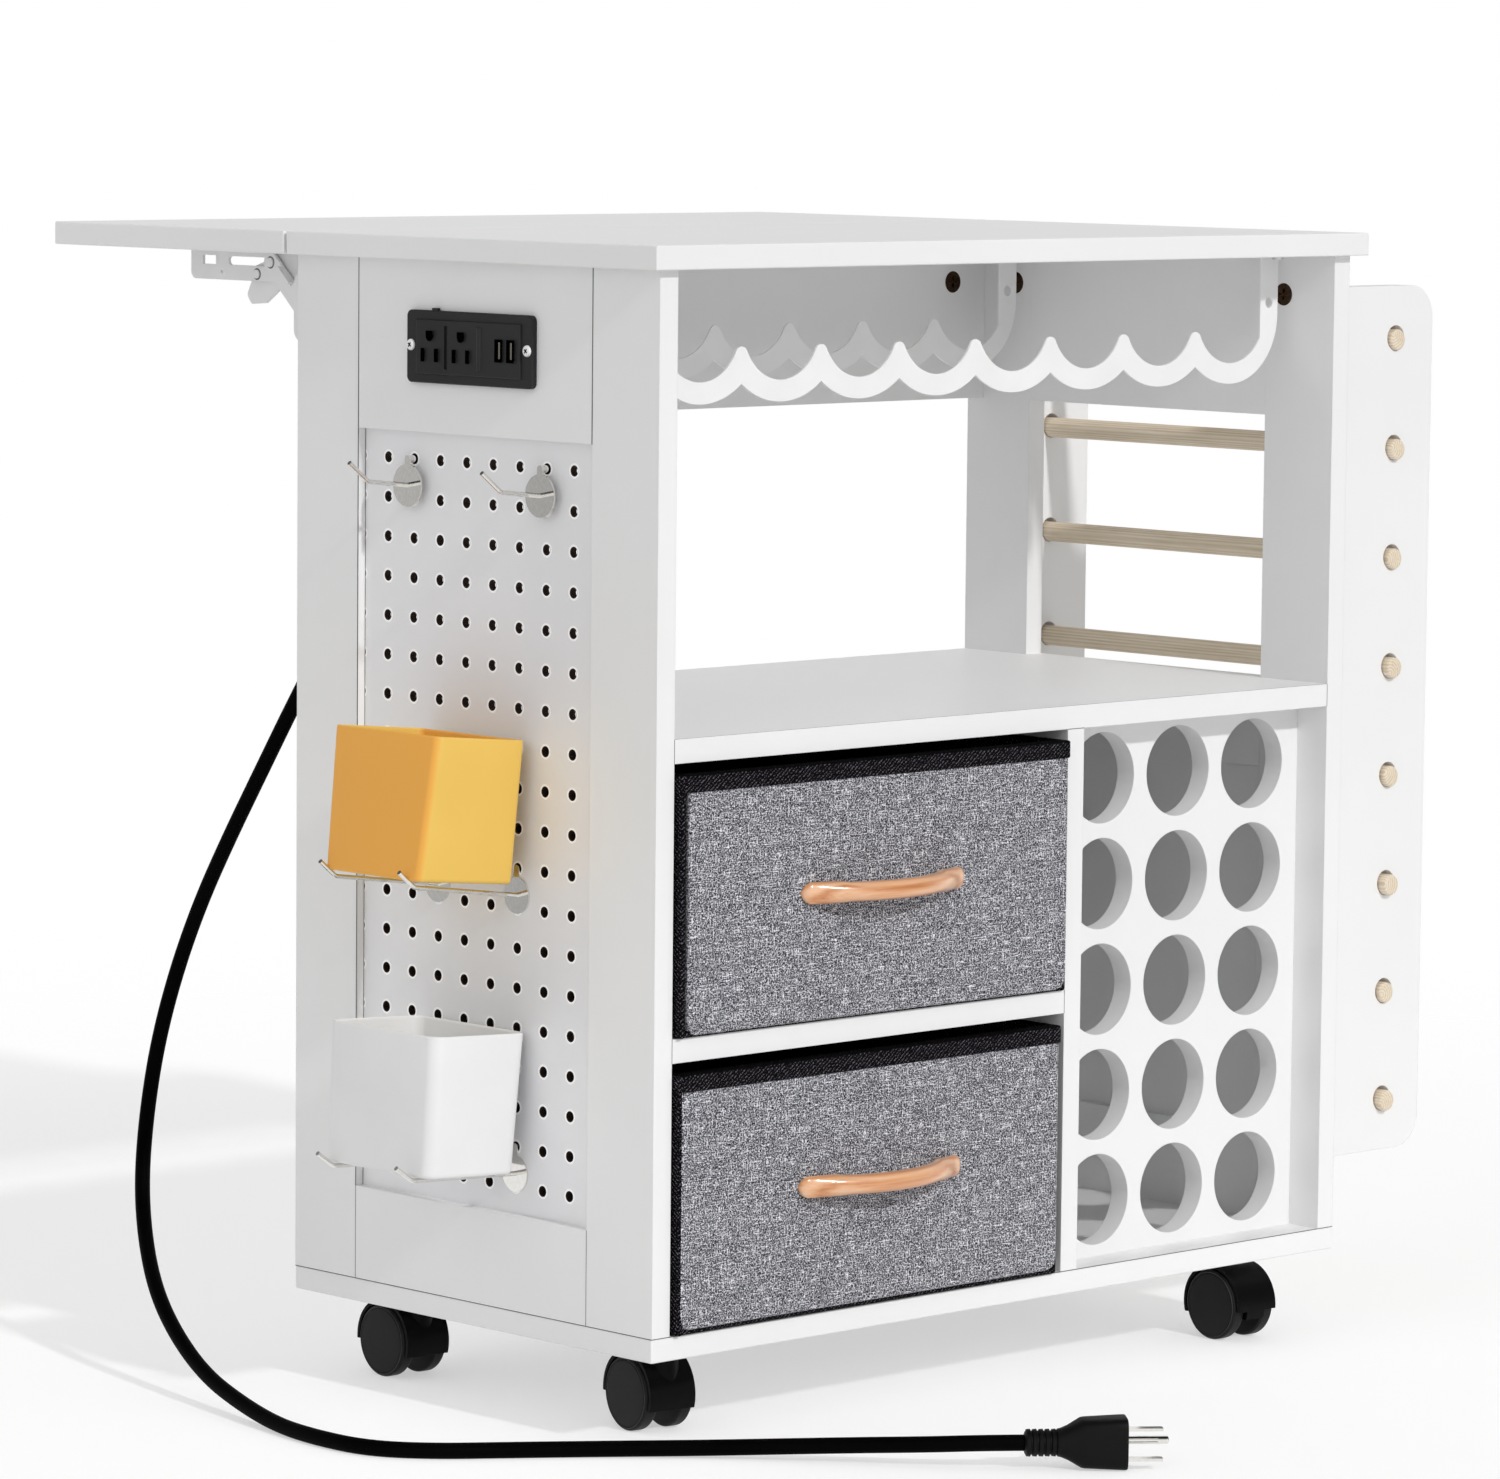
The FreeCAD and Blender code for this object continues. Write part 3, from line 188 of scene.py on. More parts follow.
def drilled_hardboard():
    """The same white face on thin hardboard: raw brown fibre in the drilled holes, a pressed lip round each.

    Distance to the nearest hole comes from the place wrapped to one pitch. The hole's broken edge is brown
    for about 0.3 mm, and out to about 1.5 mm the lip carries a painted highlight: white colour and a faint
    glow."""
    material, tree = blank("white_faced_hardboard")
    coordinates = add(tree, "TexCoord")
    place = coordinates.outputs["Object"]
    facing = add(tree, "SeparateXYZ", {0: coordinates.outputs["Normal"]})
    flat = add(tree, "Math", {0: facing}, operation="ABSOLUTE")
    wall = add(tree, "Math", {0: flat, 1: 0.6}, operation="LESS_THAN")
    grain = add(tree, "TexNoise", {"Vector": place, "Scale": 1300.0, "Detail": 3.0})
    brown = add(tree, "ValToRGB", {0: grain}, stops=((0.3, "#150D09"), (0.7, "#3A271D")))
    middle = spot(*middle_mm("pegboard"))
    half = PEG_PITCH / 2
    from_hole = add(tree, "VectorMath", {0: place, 1: (0.0, middle.y + half, middle.z)}, operation="SUBTRACT")
    near = add(tree, "VectorMath", {0: from_hole, 1: (9.0, half, half), 2: (-9.0, -half, -half)},
               operation="WRAP")
    across = add(tree, "VectorMath", {0: near, 1: (0.0, 1.0, 1.0)}, operation="MULTIPLY")
    away = add(tree, "VectorMath", {0: across}, operation="LENGTH").outputs["Value"]
    # Painted highlight: the lip ring is mixed towards white and glows faintly white
    lip = add(tree, "MapRange", {0: away, 1: LIP_FADE[0], 2: LIP_FADE[1], 3: 1.0, 4: 0.0})
    mouth = add(tree, "MapRange", {0: away, 1: MOUTH_FADE[0], 2: MOUTH_FADE[1], 3: 1.0, 4: 0.0})
    wall = add(tree, "Math", {0: wall, 1: mouth}, operation="MAXIMUM")
    painted_glow = add(tree, "Math", {0: lip, 1: wall}, operation="SUBTRACT", use_clamp=True)
    painted_glow = add(tree, "Math", {0: painted_glow, 1: 0.10}, operation="MULTIPLY")
    cloud = add(tree, "TexNoise", {"Vector": place, "Scale": 6.0, "Detail": 3.0})
    face = add(tree, "ValToRGB", {0: cloud}, stops=((0.3, "#EEEEF0"), (0.7, "#F1F1F3")))
    highlight_ringed = add(tree, "Mix", {0: lip, 6: face, 7: linear("#FFFFFF")}, data_type="RGBA").outputs[2]
    colour = add(tree, "Mix", {0: wall, 6: highlight_ringed, 7: brown}, data_type="RGBA").outputs[2]
    sheen = add(tree, "Math", {0: wall, 1: 0.45, 2: 0.42}, operation="MULTIPLY_ADD")
    relief = add(tree, "Bump", {"Height": grain, "Distance": 0.00003})
    skin = add(tree, "BsdfPrincipled", {"Base Color": colour, "Roughness": sheen, "IOR": 1.5,
                                        "Specular IOR Level": 0.4, "Normal": relief,
                                        "Emission Color": (1, 1, 1, 1), "Emission Strength": painted_glow})
    add(tree, "OutputMaterial", {"Surface": skin})
    return material


def plated(name, low, high, roughness, streak):
    """Plated steel: bright metal whose roughness follows fine drawing marks along one direction."""
    material, tree = blank(name)
    place = add(tree, "TexCoord").outputs["Object"]
    drawn = add(tree, "Mapping", {"Vector": place, "Scale": streak})
    marks = add(tree, "TexNoise", {"Vector": drawn, "Scale": 400.0, "Detail": 3.0})
    colour = add(tree, "ValToRGB", {0: marks}, stops=((0.3, low), (0.7, high)))
    sheen = add(tree, "Math", {0: marks, 1: 0.08, 2: roughness}, operation="MULTIPLY_ADD")
    relief = add(tree, "Bump", {"Height": marks, "Distance": 0.000004})
    skin = add(tree, "BsdfPrincipled", {"Base Color": colour, "Metallic": 1.0, "Roughness": sheen,
                                        "Normal": relief})
    add(tree, "OutputMaterial", {"Surface": skin})
    return material


def moulded(name, low, high, roughness, grain, depth, ior, gloss):
    """Injection-moulded plastic: a fine eroded grain that softens its sheen, corners eased by the tool."""
    material, tree = blank(name)
    place = add(tree, "TexCoord").outputs["Object"]
    eroded = add(tree, "TexNoise", {"Vector": place, "Scale": grain})
    cloud = add(tree, "TexNoise", {"Vector": place, "Scale": 18.0})
    colour = add(tree, "ValToRGB", {0: cloud}, stops=((0.3, low), (0.7, high)))
    sheen = add(tree, "Math", {0: eroded, 1: 0.14, 2: roughness}, operation="MULTIPLY_ADD")
    edge = add(tree, "Bevel", {"Radius": 0.0004}, samples=4)
    relief = add(tree, "Bump", {"Height": eroded, "Distance": depth, "Normal": edge})
    skin = add(tree, "BsdfPrincipled", {"Base Color": colour, "Roughness": sheen, "IOR": ior,
                                        "Specular IOR Level": gloss, "Normal": relief})
    add(tree, "OutputMaterial", {"Surface": skin})
    return material


def yellow_with_painted_shade():
    """Yellow polypropylene with painted shade: walls that face left are mixed to a deeper orange, the rest
    stay pale.
    """
    material = moulded("yellow_polypropylene", "#E8BE5A", "#ECC25E", 0.42, 1500.0, 0.00003, 1.49, 0.4)
    tree = material.node_tree
    pale = next(node for node in tree.nodes if node.bl_idname == "ShaderNodeValToRGB").outputs["Color"]
    skin = next(node for node in tree.nodes if node.bl_idname == "ShaderNodeBsdfPrincipled")
    facing = add(tree, "TexCoord").outputs["Normal"]
    outward = add(tree, "SeparateXYZ", {0: facing}).outputs["X"]
    # Painted shade: walls facing left are mixed to a deeper orange
    outer = add(tree, "MapRange", {0: outward, 1: -0.3, 2: -0.8})
    painted_left_shade = add(tree, "Mix", {0: outer, 6: pale, 7: linear("#F1AE4B")}, data_type="RGBA")
    tree.links.new(painted_left_shade.outputs[2], skin.inputs["Base Color"])
    return material


THREAD = 0.00064
HEATHER = (0.436, "#121216"), (0.495, "#38383F"), (0.55, "#6E6E75"), (0.605, "#B0B0B7"), (0.685, "#F2F2F6")


def linen():
    """Heathered grey linen: pale and dark yarns crossing like salt and pepper, with thin pale slubs."""
    material, tree = blank("grey_heather_linen")
    cloth = add(tree, "UVMap", uv_map="cloth")
    yarns = []
    for stretch, shift in (((0.40, 1.0, 1.0), (0.0, 0.0, 0.0)), ((1.0, 0.40, 1.0), (7.3, 1.9, 0.0))):
        drawn = add(tree, "Mapping", {"Vector": cloth, "Scale": stretch, "Location": shift})
        yarns.append(add(tree, "TexNoise", {"Vector": drawn, "Scale": 1 / THREAD, "Detail": 1.0}))
    crossing = add(tree, "TexNoise", {"Vector": cloth, "Scale": 1.2 / THREAD, "Detail": 0.0})
    over = add(tree, "MapRange", {0: crossing, 1: 0.46, 2: 0.54})
    thread = add(tree, "Mix", {0: over, 2: yarns[0], 3: yarns[1]})
    slubs = []
    for stretch, shift in (((0.07, 1.0, 1.0), (3.1, 0.0, 0.0)), ((1.0, 0.08, 1.0), (0.0, 5.7, 0.0))):
        drawn = add(tree, "Mapping", {"Vector": cloth, "Scale": stretch, "Location": shift})
        long = add(tree, "TexNoise", {"Vector": drawn, "Scale": 0.9 / THREAD, "Detail": 0.0})
        slubs.append(add(tree, "MapRange", {0: long, 1: 0.62, 2: 0.75, 3: 0.0, 4: 0.12}))
    cloud = add(tree, "TexNoise", {"Vector": cloth, "Scale": 60.0, "Detail": 2.0})
    tone = add(tree, "Math", {0: cloud, 1: 0.05, 2: thread}, operation="MULTIPLY_ADD")
    for slub in slubs:
        tone = add(tree, "Math", {0: tone, 1: slub}, operation="ADD")
    colour = add(tree, "ValToRGB", {0: tone}, stops=HEATHER)
    relief = add(tree, "Bump", {"Height": tone, "Distance": 0.0003})
    skin = add(tree, "BsdfPrincipled", {"Base Color": colour, "Roughness": 0.85, "IOR": 1.45,
                                        "Specular IOR Level": 0.2, "Sheen Weight": 0.1, "Normal": relief})
    add(tree, "OutputMaterial", {"Surface": skin})
    return material


TWILL = 0.0022


def twill_tape():
    """Black polyester twill: matte, with fine slanting ridges whose threads carry painted grey glints.

    Faces that point up, such as the folded upper edge, get no glints and stay plain black: painted shade."""
    material, tree = blank("black_twill_cloth")
    cloth = add(tree, "UVMap", uv_map="cloth")
    slanted = add(tree, "Mapping", {"Vector": cloth, "Rotation": (0.0, 0.0, 0.9)})
    ridge = add(tree, "TexWave", {"Vector": slanted, "Scale": 0.314 / TWILL, "Distortion": 0.4,
                                  "Detail Scale": 2.0}).outputs["Fac"]
    fibre = add(tree, "TexNoise", {"Vector": cloth, "Scale": 1000.0, "Detail": 1.0})
    facing = add(tree, "TexCoord").outputs["Normal"]
    upright = add(tree, "SeparateXYZ", {0: facing}).outputs["Z"]
    # Painted shade: faces that point up lose the glints
    side = add(tree, "MapRange", {0: upright, 1: 0.1, 2: 0.5, 3: 1.0, 4: 0.0})
    # Painted highlight: grey glints on the ridges' threads
    painted_glint = add(tree, "MapRange", {0: fibre, 1: 0.50, 2: 0.60})
    painted_glint = add(tree, "Math", {0: painted_glint, 1: side}, operation="MULTIPLY")
    tone = add(tree, "Math", {0: ridge, 1: painted_glint}, operation="MULTIPLY")
    colour = add(tree, "ValToRGB", {0: tone}, stops=((0.2, "#050406"), (0.9, "#6A666E")))
    relief = add(tree, "Bump", {"Height": ridge, "Distance": 0.0003})
    skin = add(tree, "BsdfPrincipled", {"Base Color": colour, "Roughness": 0.8, "IOR": 1.45,
                                        "Specular IOR Level": 0.05, "Normal": relief})
    add(tree, "OutputMaterial", {"Surface": skin})
    return material


def timber(name, stops, along, across, ring, coat, roughness):
    """Clear-finished wood: long grain streaks and growth rings read from the piece's own grain attribute."""
    material, tree = blank(name)
    grain = add(tree, "Attribute", attribute_name="grain").outputs["Vector"]
    slow = add(tree, "Mapping", {"Vector": grain, "Scale": (3.0, 12.0, 12.0)})
    wander = add(tree, "TexNoise", {"Vector": slow, "Scale": 6.0})
    fine = add(tree, "Mapping", {"Vector": grain, "Scale": (along, across, across)})
    streak = add(tree, "TexNoise", {"Vector": fine, "Scale": 1.0, "Detail": 4.0, "Roughness": 0.65})
    grown = add(tree, "Mapping", {"Vector": grain, "Scale": (ring * 0.03, ring, ring)})
    rings = add(tree, "TexWave", {"Vector": grown, "Scale": 1.0, "Distortion": 3.0, "Detail": 2.0},
                wave_type="RINGS", rings_direction="X").outputs["Fac"]
    tone = add(tree, "Math", {0: streak, 1: 0.6}, operation="MULTIPLY")
    tone = add(tree, "Math", {0: rings, 1: 0.28, 2: tone}, operation="MULTIPLY_ADD")
    tone = add(tree, "Math", {0: wander, 1: 0.24, 2: tone}, operation="MULTIPLY_ADD")
    colour = add(tree, "ValToRGB", {0: tone}, stops=stops)
    sheen = add(tree, "Math", {0: streak, 1: 0.15, 2: roughness}, operation="MULTIPLY_ADD")
    relief = add(tree, "Bump", {"Height": streak, "Distance": 0.00006})
    skin = add(tree, "BsdfPrincipled", {"Base Color": colour, "Roughness": sheen, "IOR": 1.5,
                                        "Coat Weight": coat, "Coat Roughness": 0.16, "Normal": relief})
    add(tree, "OutputMaterial", {"Surface": skin})
    return material


def joint_painted_shade():
    """Painted shade for the hairline where two boards meet and round the bracket rivets: mottled grey, no
    sheen.
    """
    material, tree = blank("board_joint_painted_shade")
    place = add(tree, "TexCoord").outputs["Object"]
    shade_mottle = add(tree, "TexNoise", {"Vector": place, "Scale": 60.0})
    colour = add(tree, "ValToRGB", {0: shade_mottle}, stops=((0.3, "#585858"), (0.7, "#707070")))
    skin = add(tree, "BsdfPrincipled", {"Base Color": colour, "Roughness": 0.9})
    add(tree, "OutputMaterial", {"Surface": skin})
    return material


STOVED = dict(mottle=(25.0, 2.0), gloss=(0.12, 0.28), grain=(500.0, 1.0), depth=0.00004, corner=0.0004)
WHITE_BOARD = coated("white_melamine_board", "#EEEEEE", "#F1F1F1", (6.0, 3.0), (0.10, 0.38), (900.0, 2.0),
                     0.00003, 0.0007)
WHITE_HARDBOARD = drilled_hardboard()
WHITE_ENAMEL = coated("white_stoved_enamel", "#F0F0F0", "#F4F4F4", **STOVED)
BRACKET_ENAMEL = coated("bracket_white_enamel", "#E6E6E6", "#EEEEEE", **STOVED)
NICKEL = plated("bright_nickel_wire", "#E4E2DE", "#ECEAE6", 0.04, (1.0, 1.0, 1.0))
ZINC = plated("zinc_plated_steel", "#C2C4C6", "#DEDFE0", 0.26, (6.0, 1.0, 6.0))
BRONZED = plated("bronzed_zinc_cam", "#2A1E17", "#54402F", 0.30, (6.0, 6.0, 1.0))
BLACK_NYLON = moulded("black_moulded_nylon", "#070708", "#0B0B0C", 0.30, 1400.0, 0.00003, 1.53, 0.07)
# Painted shade: the flat black of the outlet's openings and of the screws' cross slots
SLOT_SHADE_MATERIAL = moulded("painted_slot_shade", "#020202", "#030303", 0.90, 900.0, 0.00001, 1.5, 0.0)
WHEEL_NYLON = moulded("black_wheel_nylon", "#131314", "#171718", 0.42, 1200.0, 0.00004, 1.53, 0.16)
# Painted highlight: the wheels' rim bead is a lighter grey
RIM_HIGHLIGHT_NYLON = moulded("painted_highlight_rim", "#3A3A3C", "#464648", 0.40, 1200.0, 0.00003, 1.53, 0.3)
BLACK_ABS = moulded("black_abs_housing", "#252527", "#2C2C2E", 0.42, 1600.0, 0.00005, 1.5, 0.22)
CORD_PVC = moulded("black_cord_sheath", "#030303", "#050505", 0.50, 900.0, 0.00003, 1.52, 0.02)
PLUG_PVC = moulded("black_moulded_plug", "#0A0A0B", "#101011", 0.42, 1200.0, 0.00005, 1.52, 0.12)
CONTACT_PLASTIC = moulded("contact_plastic", "#5F5A50", "#6E6960", 0.40, 1600.0, 0.00003, 1.5, 0.4)
YELLOW_PP = yellow_with_painted_shade()
WHITE_PP = moulded("white_polypropylene", "#E6E6E6", "#EAEAEA", 0.38, 1500.0, 0.00003, 1.49, 0.4)
LINEN = linen()
TWILL_TAPE = twill_tape()
BEECH = timber("lacquered_beech", ((0.30, "#BE7644"), (0.48, "#D99967"), (0.62, "#E4AD81"), (0.80, "#EDC19E")),
               14.0, 420.0, 60.0, 1.0, 0.30)
PINE = timber("sanded_pine", ((0.30, "#C8B59C"), (0.50, "#DCCBB2"), (0.70, "#E8DBC6"), (0.85, "#F2E9DA")),
              20.0, 600.0, 160.0, 0.0, 0.55)
JOINT_SHADE_MATERIAL = joint_painted_shade()


# Building surfaces from arrays

def grid_faces(rows, columns, close_rows, close_columns):
    """Quads between neighbours of a rows by columns grid, wrapped round where it closes."""
    r = np.arange(rows if close_rows else rows - 1)
    c = np.arange(columns if close_columns else columns - 1)
    r, c = np.meshgrid(r, c, indexing="ij")
    r2, c2 = (r + 1) % rows, (c + 1) % columns
    quads = [r * columns + c, r * columns + c2, r2 * columns + c2, r2 * columns + c]
    return np.stack(quads, -1).reshape(-1, 4)


def patch(grid, close_rows=False, close_columns=False, cloth=None, grain=None):
    """A grid of points in cabinet millimetres, with its faces and its cloth and grain coordinates."""
    grid = np.asarray(grid, float)
    rows, columns = grid.shape[:2]
    return {"points": grid.reshape(-1, 3), "faces": grid_faces(rows, columns, close_rows, close_columns),
            "cloth": None if cloth is None else np.asarray(cloth, float).reshape(-1, 2),
            "grain": None if grain is None else np.asarray(grain, float).reshape(-1, 3)}


def piece(name, patches, material, body, flat=False, sharp=None, replaces=()):
    """One object out of patches: arrays go in with foreach_set, doubles merge, normals turn outwards.

    Flat marks keep their own normals. Edges sharper than the sharp angle stay crisp under smooth shading."""
    def joined(key):
        return np.concatenate([part[key] for part in patches])

    starts = np.cumsum([0] + [len(part["points"]) for part in patches])
    points = to_frame(joined("points"))
    faces = np.concatenate([part["faces"] + start for part, start in zip(patches, starts)])
    mesh = bpy.data.meshes.new(name)
    mesh.vertices.add(len(points))
    mesh.vertices.foreach_set("co", points.ravel())
    mesh.loops.add(faces.size)
    mesh.loops.foreach_set("vertex_index", faces.ravel())
    mesh.polygons.add(len(faces))
    mesh.polygons.foreach_set("loop_start", np.arange(0, faces.size, 4))
    mesh.update(calc_edges=True)
    if patches[0]["cloth"] is not None:
        layer = mesh.uv_layers.new(name="cloth")
        layer.data.foreach_set("uv", (joined("cloth")[faces.ravel()] / 1000).ravel())
    if patches[0]["grain"] is not None:
        layer = mesh.attributes.new("grain", "FLOAT_VECTOR", "POINT")
        layer.data.foreach_set("vector", (joined("grain") / 1000).ravel())
    work = bmesh.new()
    work.from_mesh(mesh)
    bmesh.ops.remove_doubles(work, verts=work.verts, dist=1e-6)
    bmesh.ops.dissolve_degenerate(work, edges=work.edges, dist=1e-7)
    if not flat:
        bmesh.ops.recalc_face_normals(work, faces=work.faces)
    work.to_mesh(mesh)
    work.free()
    mesh.polygons.foreach_set("use_smooth", np.full(len(mesh.polygons), not flat))
    if sharp:
        mesh.set_sharp_from_angle(angle=math.radians(sharp))
    mesh.materials.append(material)
    made = put(name, mesh)
    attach(made, body)
    if replaces:
        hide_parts(*replaces)
    return made


def superellipse(count, power):
    """Round-cornered loop: cos and sin of an even angle, each raised to 2 over the power."""
    t = full_turn(count)
    c, s = np.cos(t), np.sin(t)
    return np.sign(c) * np.abs(c) ** (2 / power), np.sign(s) * np.abs(s) ** (2 / power)


SLAB_CELL = 6.0


def rounded_slab(x, y, z, radius, steps, bulge=None):
    """Closed box with rounded edges: a cube's six grids pushed onto the shape of a small ball swept by a box.

    Each point is clamped to the box shrunk by the radius, then pushed out from there by the radius."""
    lo, hi = np.array((x, y, z), float).T
    core_lo, core_hi = lo + radius, hi - radius
    edge = radius * np.sin(np.linspace(0, math.pi / 2, steps + 1)[:-1])
    lines = []
    for axis in range(3):
        count = max(2, int((hi[axis] - lo[axis] - 2 * radius) / SLAB_CELL) + 1)
        inner = np.linspace(core_lo[axis], core_hi[axis], count)
        lines.append(np.unique(np.concatenate([core_lo[axis] - edge[::-1], [lo[axis]], inner, [hi[axis]],
                                               core_hi[axis] + edge]).round(6)))
    patches = []
    for axis in range(3):
        a, b = [i for i in range(3) if i != axis]
        for end in (lo[axis], hi[axis]):
            u, v = np.meshgrid(lines[a], lines[b], indexing="ij")
            grid = np.zeros(u.shape + (3,))
            grid[..., a], grid[..., b], grid[..., axis] = u, v, end
            core = np.clip(grid, core_lo, core_hi)
            out = grid - core
            length = np.linalg.norm(out, axis=-1, keepdims=True)
            grid = core + out / np.maximum(length, 1e-9) * radius
            if bulge:
                grid = bulge(grid)
            patches.append(patch(grid, cloth=grid[..., [a, b]]))
    return patches


# The power cord: the route's points again, in millimetres, as the control points of one smooth line

def cord_exit():
    """The middle of the gland's lower face."""
    x, y, _ = middle_mm("cord_gland")
    return x, y, box_mm("cord_gland")[2][0]


def cord_route():
    exit_x, exit_y, exit_z = cord_exit()
    steps = [(0, 0, 0), (0, 0, -38), (0, 22, -80), (0, 62, -109), (-2, 108, -129), (-6, 145, -158)]
    inside = [(exit_x + x, exit_y + y, exit_z + z) for x, y, z in steps]
    behind = [(25, 373, 434), (19, 399, 388), (14, 426, 342), (11, 452, 297), (7, 472, 250), (-2, 480, 203),
              (-17, 473, 157), (-37, 453, 117), (-57, 424, 85), (-76, 389, 58), (-90, 350, 36),
              (-104, 303, 19), (-115, 254, 10)]
    on_floor = [(-125, 206, 5), (-131, 160, 5), (-128, 117, 5), (-105, 85, 5), (-66, 56, 5), (-20, 21, 5)]
    to_plug = [(24, -20, 6), (55, -57, 8.5), (84, -96, 11.5), (109, -131, 14), (131, -158, 16.2),
               (150, -173.5, 16.2)]
    return inside + behind + on_floor + to_plug


CORD_RADIUS = 0.005


def make_cord():
    curve = bpy.data.curves.new("power_lead", "CURVE")
    curve.dimensions = "3D"
    curve.resolution_u = 8
    curve.bevel_depth = CORD_RADIUS
    curve.bevel_resolution = 6
    curve.use_fill_caps = True
    line = curve.splines.new("NURBS")
    route = to_frame(cord_route())
    line.points.add(len(route) - 1)
    for point, place in zip(line.points, route):
        point.co = (*place, 1.0)
    line.order_u = 3
    line.use_endpoint_u = True
    curve.materials.append(CORD_PVC)
    made = put("power_lead", curve)
    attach(made, "cart")
    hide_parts("power_cord")
    return made


def plug_directions():
    """Where the plug starts, the level way it points and the level way across it."""
    route = np.array(cord_route(), float)
    way = route[-1] - route[-2]
    way[2] = 0
    way = way / np.linalg.norm(way)
    return route[-1], way, np.array([-way[1], way[0], 0.0])


RIBS, RIBBED_LENGTH = 5, 19.5


def make_plug():
    """Moulded plug: rounded sections strung along its axis, width, height and squareness changing on the way.

    A point is the axis point plus side times half width times c, plus up times half height times s, where
    c and s run round a superellipse."""
    start, way, side = plug_directions()
    up = np.array([0.0, 0.0, 1.0])
    relief = []
    pitch = RIBBED_LENGTH / RIBS
    for i in range(RIBS):
        at = i * pitch
        relief += [(at + 0.05, 14.6, 14.6, 2.0), (at + 0.5, 16.6, 16.6, 2.0),
                   (at + pitch - 1.1, 17.0, 17.0, 2.0), (at + pitch - 0.65, 14.8, 14.8, 2.0)]
    stations = [(-0.6, 0.02, 0.02, 2.0), (-0.6, 10.5, 10.5, 2.0), (-0.5, 12.8, 12.8, 2.0)] + relief
    stations += [(19.6, 16.4, 16.8, 2.3), (21.5, 17.0, 17.4, 2.6), (26.0, 18.4, 21.0, 3.0),
                 (30.5, 20.4, 26.2, 3.4), (33.6, 22.2, 29.6, 3.8), (34.6, 22.9, 30.0, 4.0),
                 (36.0, 23.3, 30.3, 4.2), (45.0, 24.0, 31.0, 4.6), (55.0, 24.6, 31.8, 5.0),
                 (60.6, 24.9, 32.2, 5.0), (61.6, 24.6, 31.9, 5.0), (62.0, 23.6, 31.0, 5.0),
                 (62.0, 0.02, 0.02, 2.0)]
    grid = []
    for at, width, height, power in stations:
        c, s = superellipse(48, power)
        grid.append(start + way * at + np.outer(c, side) * width / 2 + np.outer(s, up) * height / 2)
    return piece("plug_moulding", [patch(np.array(grid), close_columns=True)], PLUG_PVC, "cart", sharp=50,
                 replaces=("plug_body",))


POWER_LEAD = make_cord()
PLUG = make_plug()


# Finishes of the solids that stay as they are

def dress(names, material):
    for name in names:
        for place in nodes[name].material_slots:
            place.material = material
        if not nodes[name].material_slots:
            nodes[name].data.materials.append(material)


BOARDS = ["top_board", "leaf_board", "base_board", "middle_shelf", "drawer_shelf", "divider",
          "left_front_stile", "left_rear_stile", "left_top_rail", "left_bottom_rail", "right_front_stile",
          "right_rear_stile", "right_top_rail", "right_lower_rails", "right_lower_panel", "back_top_rail",
          "back_panel", "roll_grid_front", "roll_grid_rear", "ear_board_front", "ear_board_rear"]
dress(BOARDS, WHITE_BOARD)
dress(["pegboard"], WHITE_HARDBOARD)
dress(["roll_rack_front", "roll_rack_rear"], WHITE_ENAMEL)
dress(["bracket_wall_arms", "bracket_shelf_arms", "bracket_struts", "bracket_levers"], BRACKET_ENAMEL)
dress(["caster_plates", "screws"], ZINC)
dress(["cam_locks"], BRONZED)
dress(["peg_hooks", "plug_pins"], NICKEL)
dress(["outlet_faceplate", "outlet_housing", "cord_gland"], BLACK_ABS)
dress([n for n in nodes if n.startswith("caster_hood")], BLACK_NYLON)
dress([n for n in nodes if n.startswith("caster_wheels")], WHEEL_NYLON)


# Dowels: turned sticks with eased ends, their grain running along them

def dowel_stick(i):
    """Surface of revolution about the dowel's axis: radius over length, an eased edge at each end."""
    (x0, x1), (start, end), (z0, z1) = box_mm("dowel_%d" % (i + 1))
    x, z, r, length = (x0 + x1) / 2, (z0 + z1) / 2, (x1 - x0) / 2, end - start
    profile = [(0, 0), (0, r * 0.5), (0, r - 1.1), (0.25, r - 0.5), (0.9, r - 0.1), (1.6, r)]
    profile += [(at, r) for at in np.linspace(12, length - 12, 14)]
    profile += [(length - 1.6, r), (length - 0.9, r - 0.1), (length - 0.25, r - 0.5), (length, r - 1.1),
                (length, r * 0.5), (length, 0)]
    along, radius = np.array(profile, float).T
    turn = full_turn(40)
    c, s = np.cos(turn), np.sin(turn)
    grid = np.stack([x + radius[:, None] * c, start + along[:, None] + 0 * c, z + radius[:, None] * s], -1)
    pith = (5.0 + 3.0 * (i % 3), -4.0 + 2.5 * (i % 4))
    across = radius[:, None] * c + pith[0], radius[:, None] * s + pith[1]
    grain = np.stack([along[:, None] + 0 * c + 400 * i, *across], -1)
    piece("pine_dowel_%d" % (i + 1), [patch(grid, close_columns=True, grain=grain)], PINE,
          "dowel_rod_%d" % (i + 1), sharp=50, replaces=("dowel_%d" % (i + 1),))


for number in range(8):
    dowel_stick(number)


# Bow handles of beech

BOW_HALF, BOW_RISE = 70.5, 26.0
BAY_HALF, BAY_RISE = 46.0, 15.5
FOOT_PAD, TIP_ROUND = 6.0, 6.8


def arc_depth(x, half, rise):
    """Height over the chord of a circular arc that spans two halves and rises at the middle."""
    radius = (half ** 2 + rise ** 2) / (2 * rise)
    return np.sqrt(np.maximum(radius ** 2 - x ** 2, 0)) - (radius - rise)


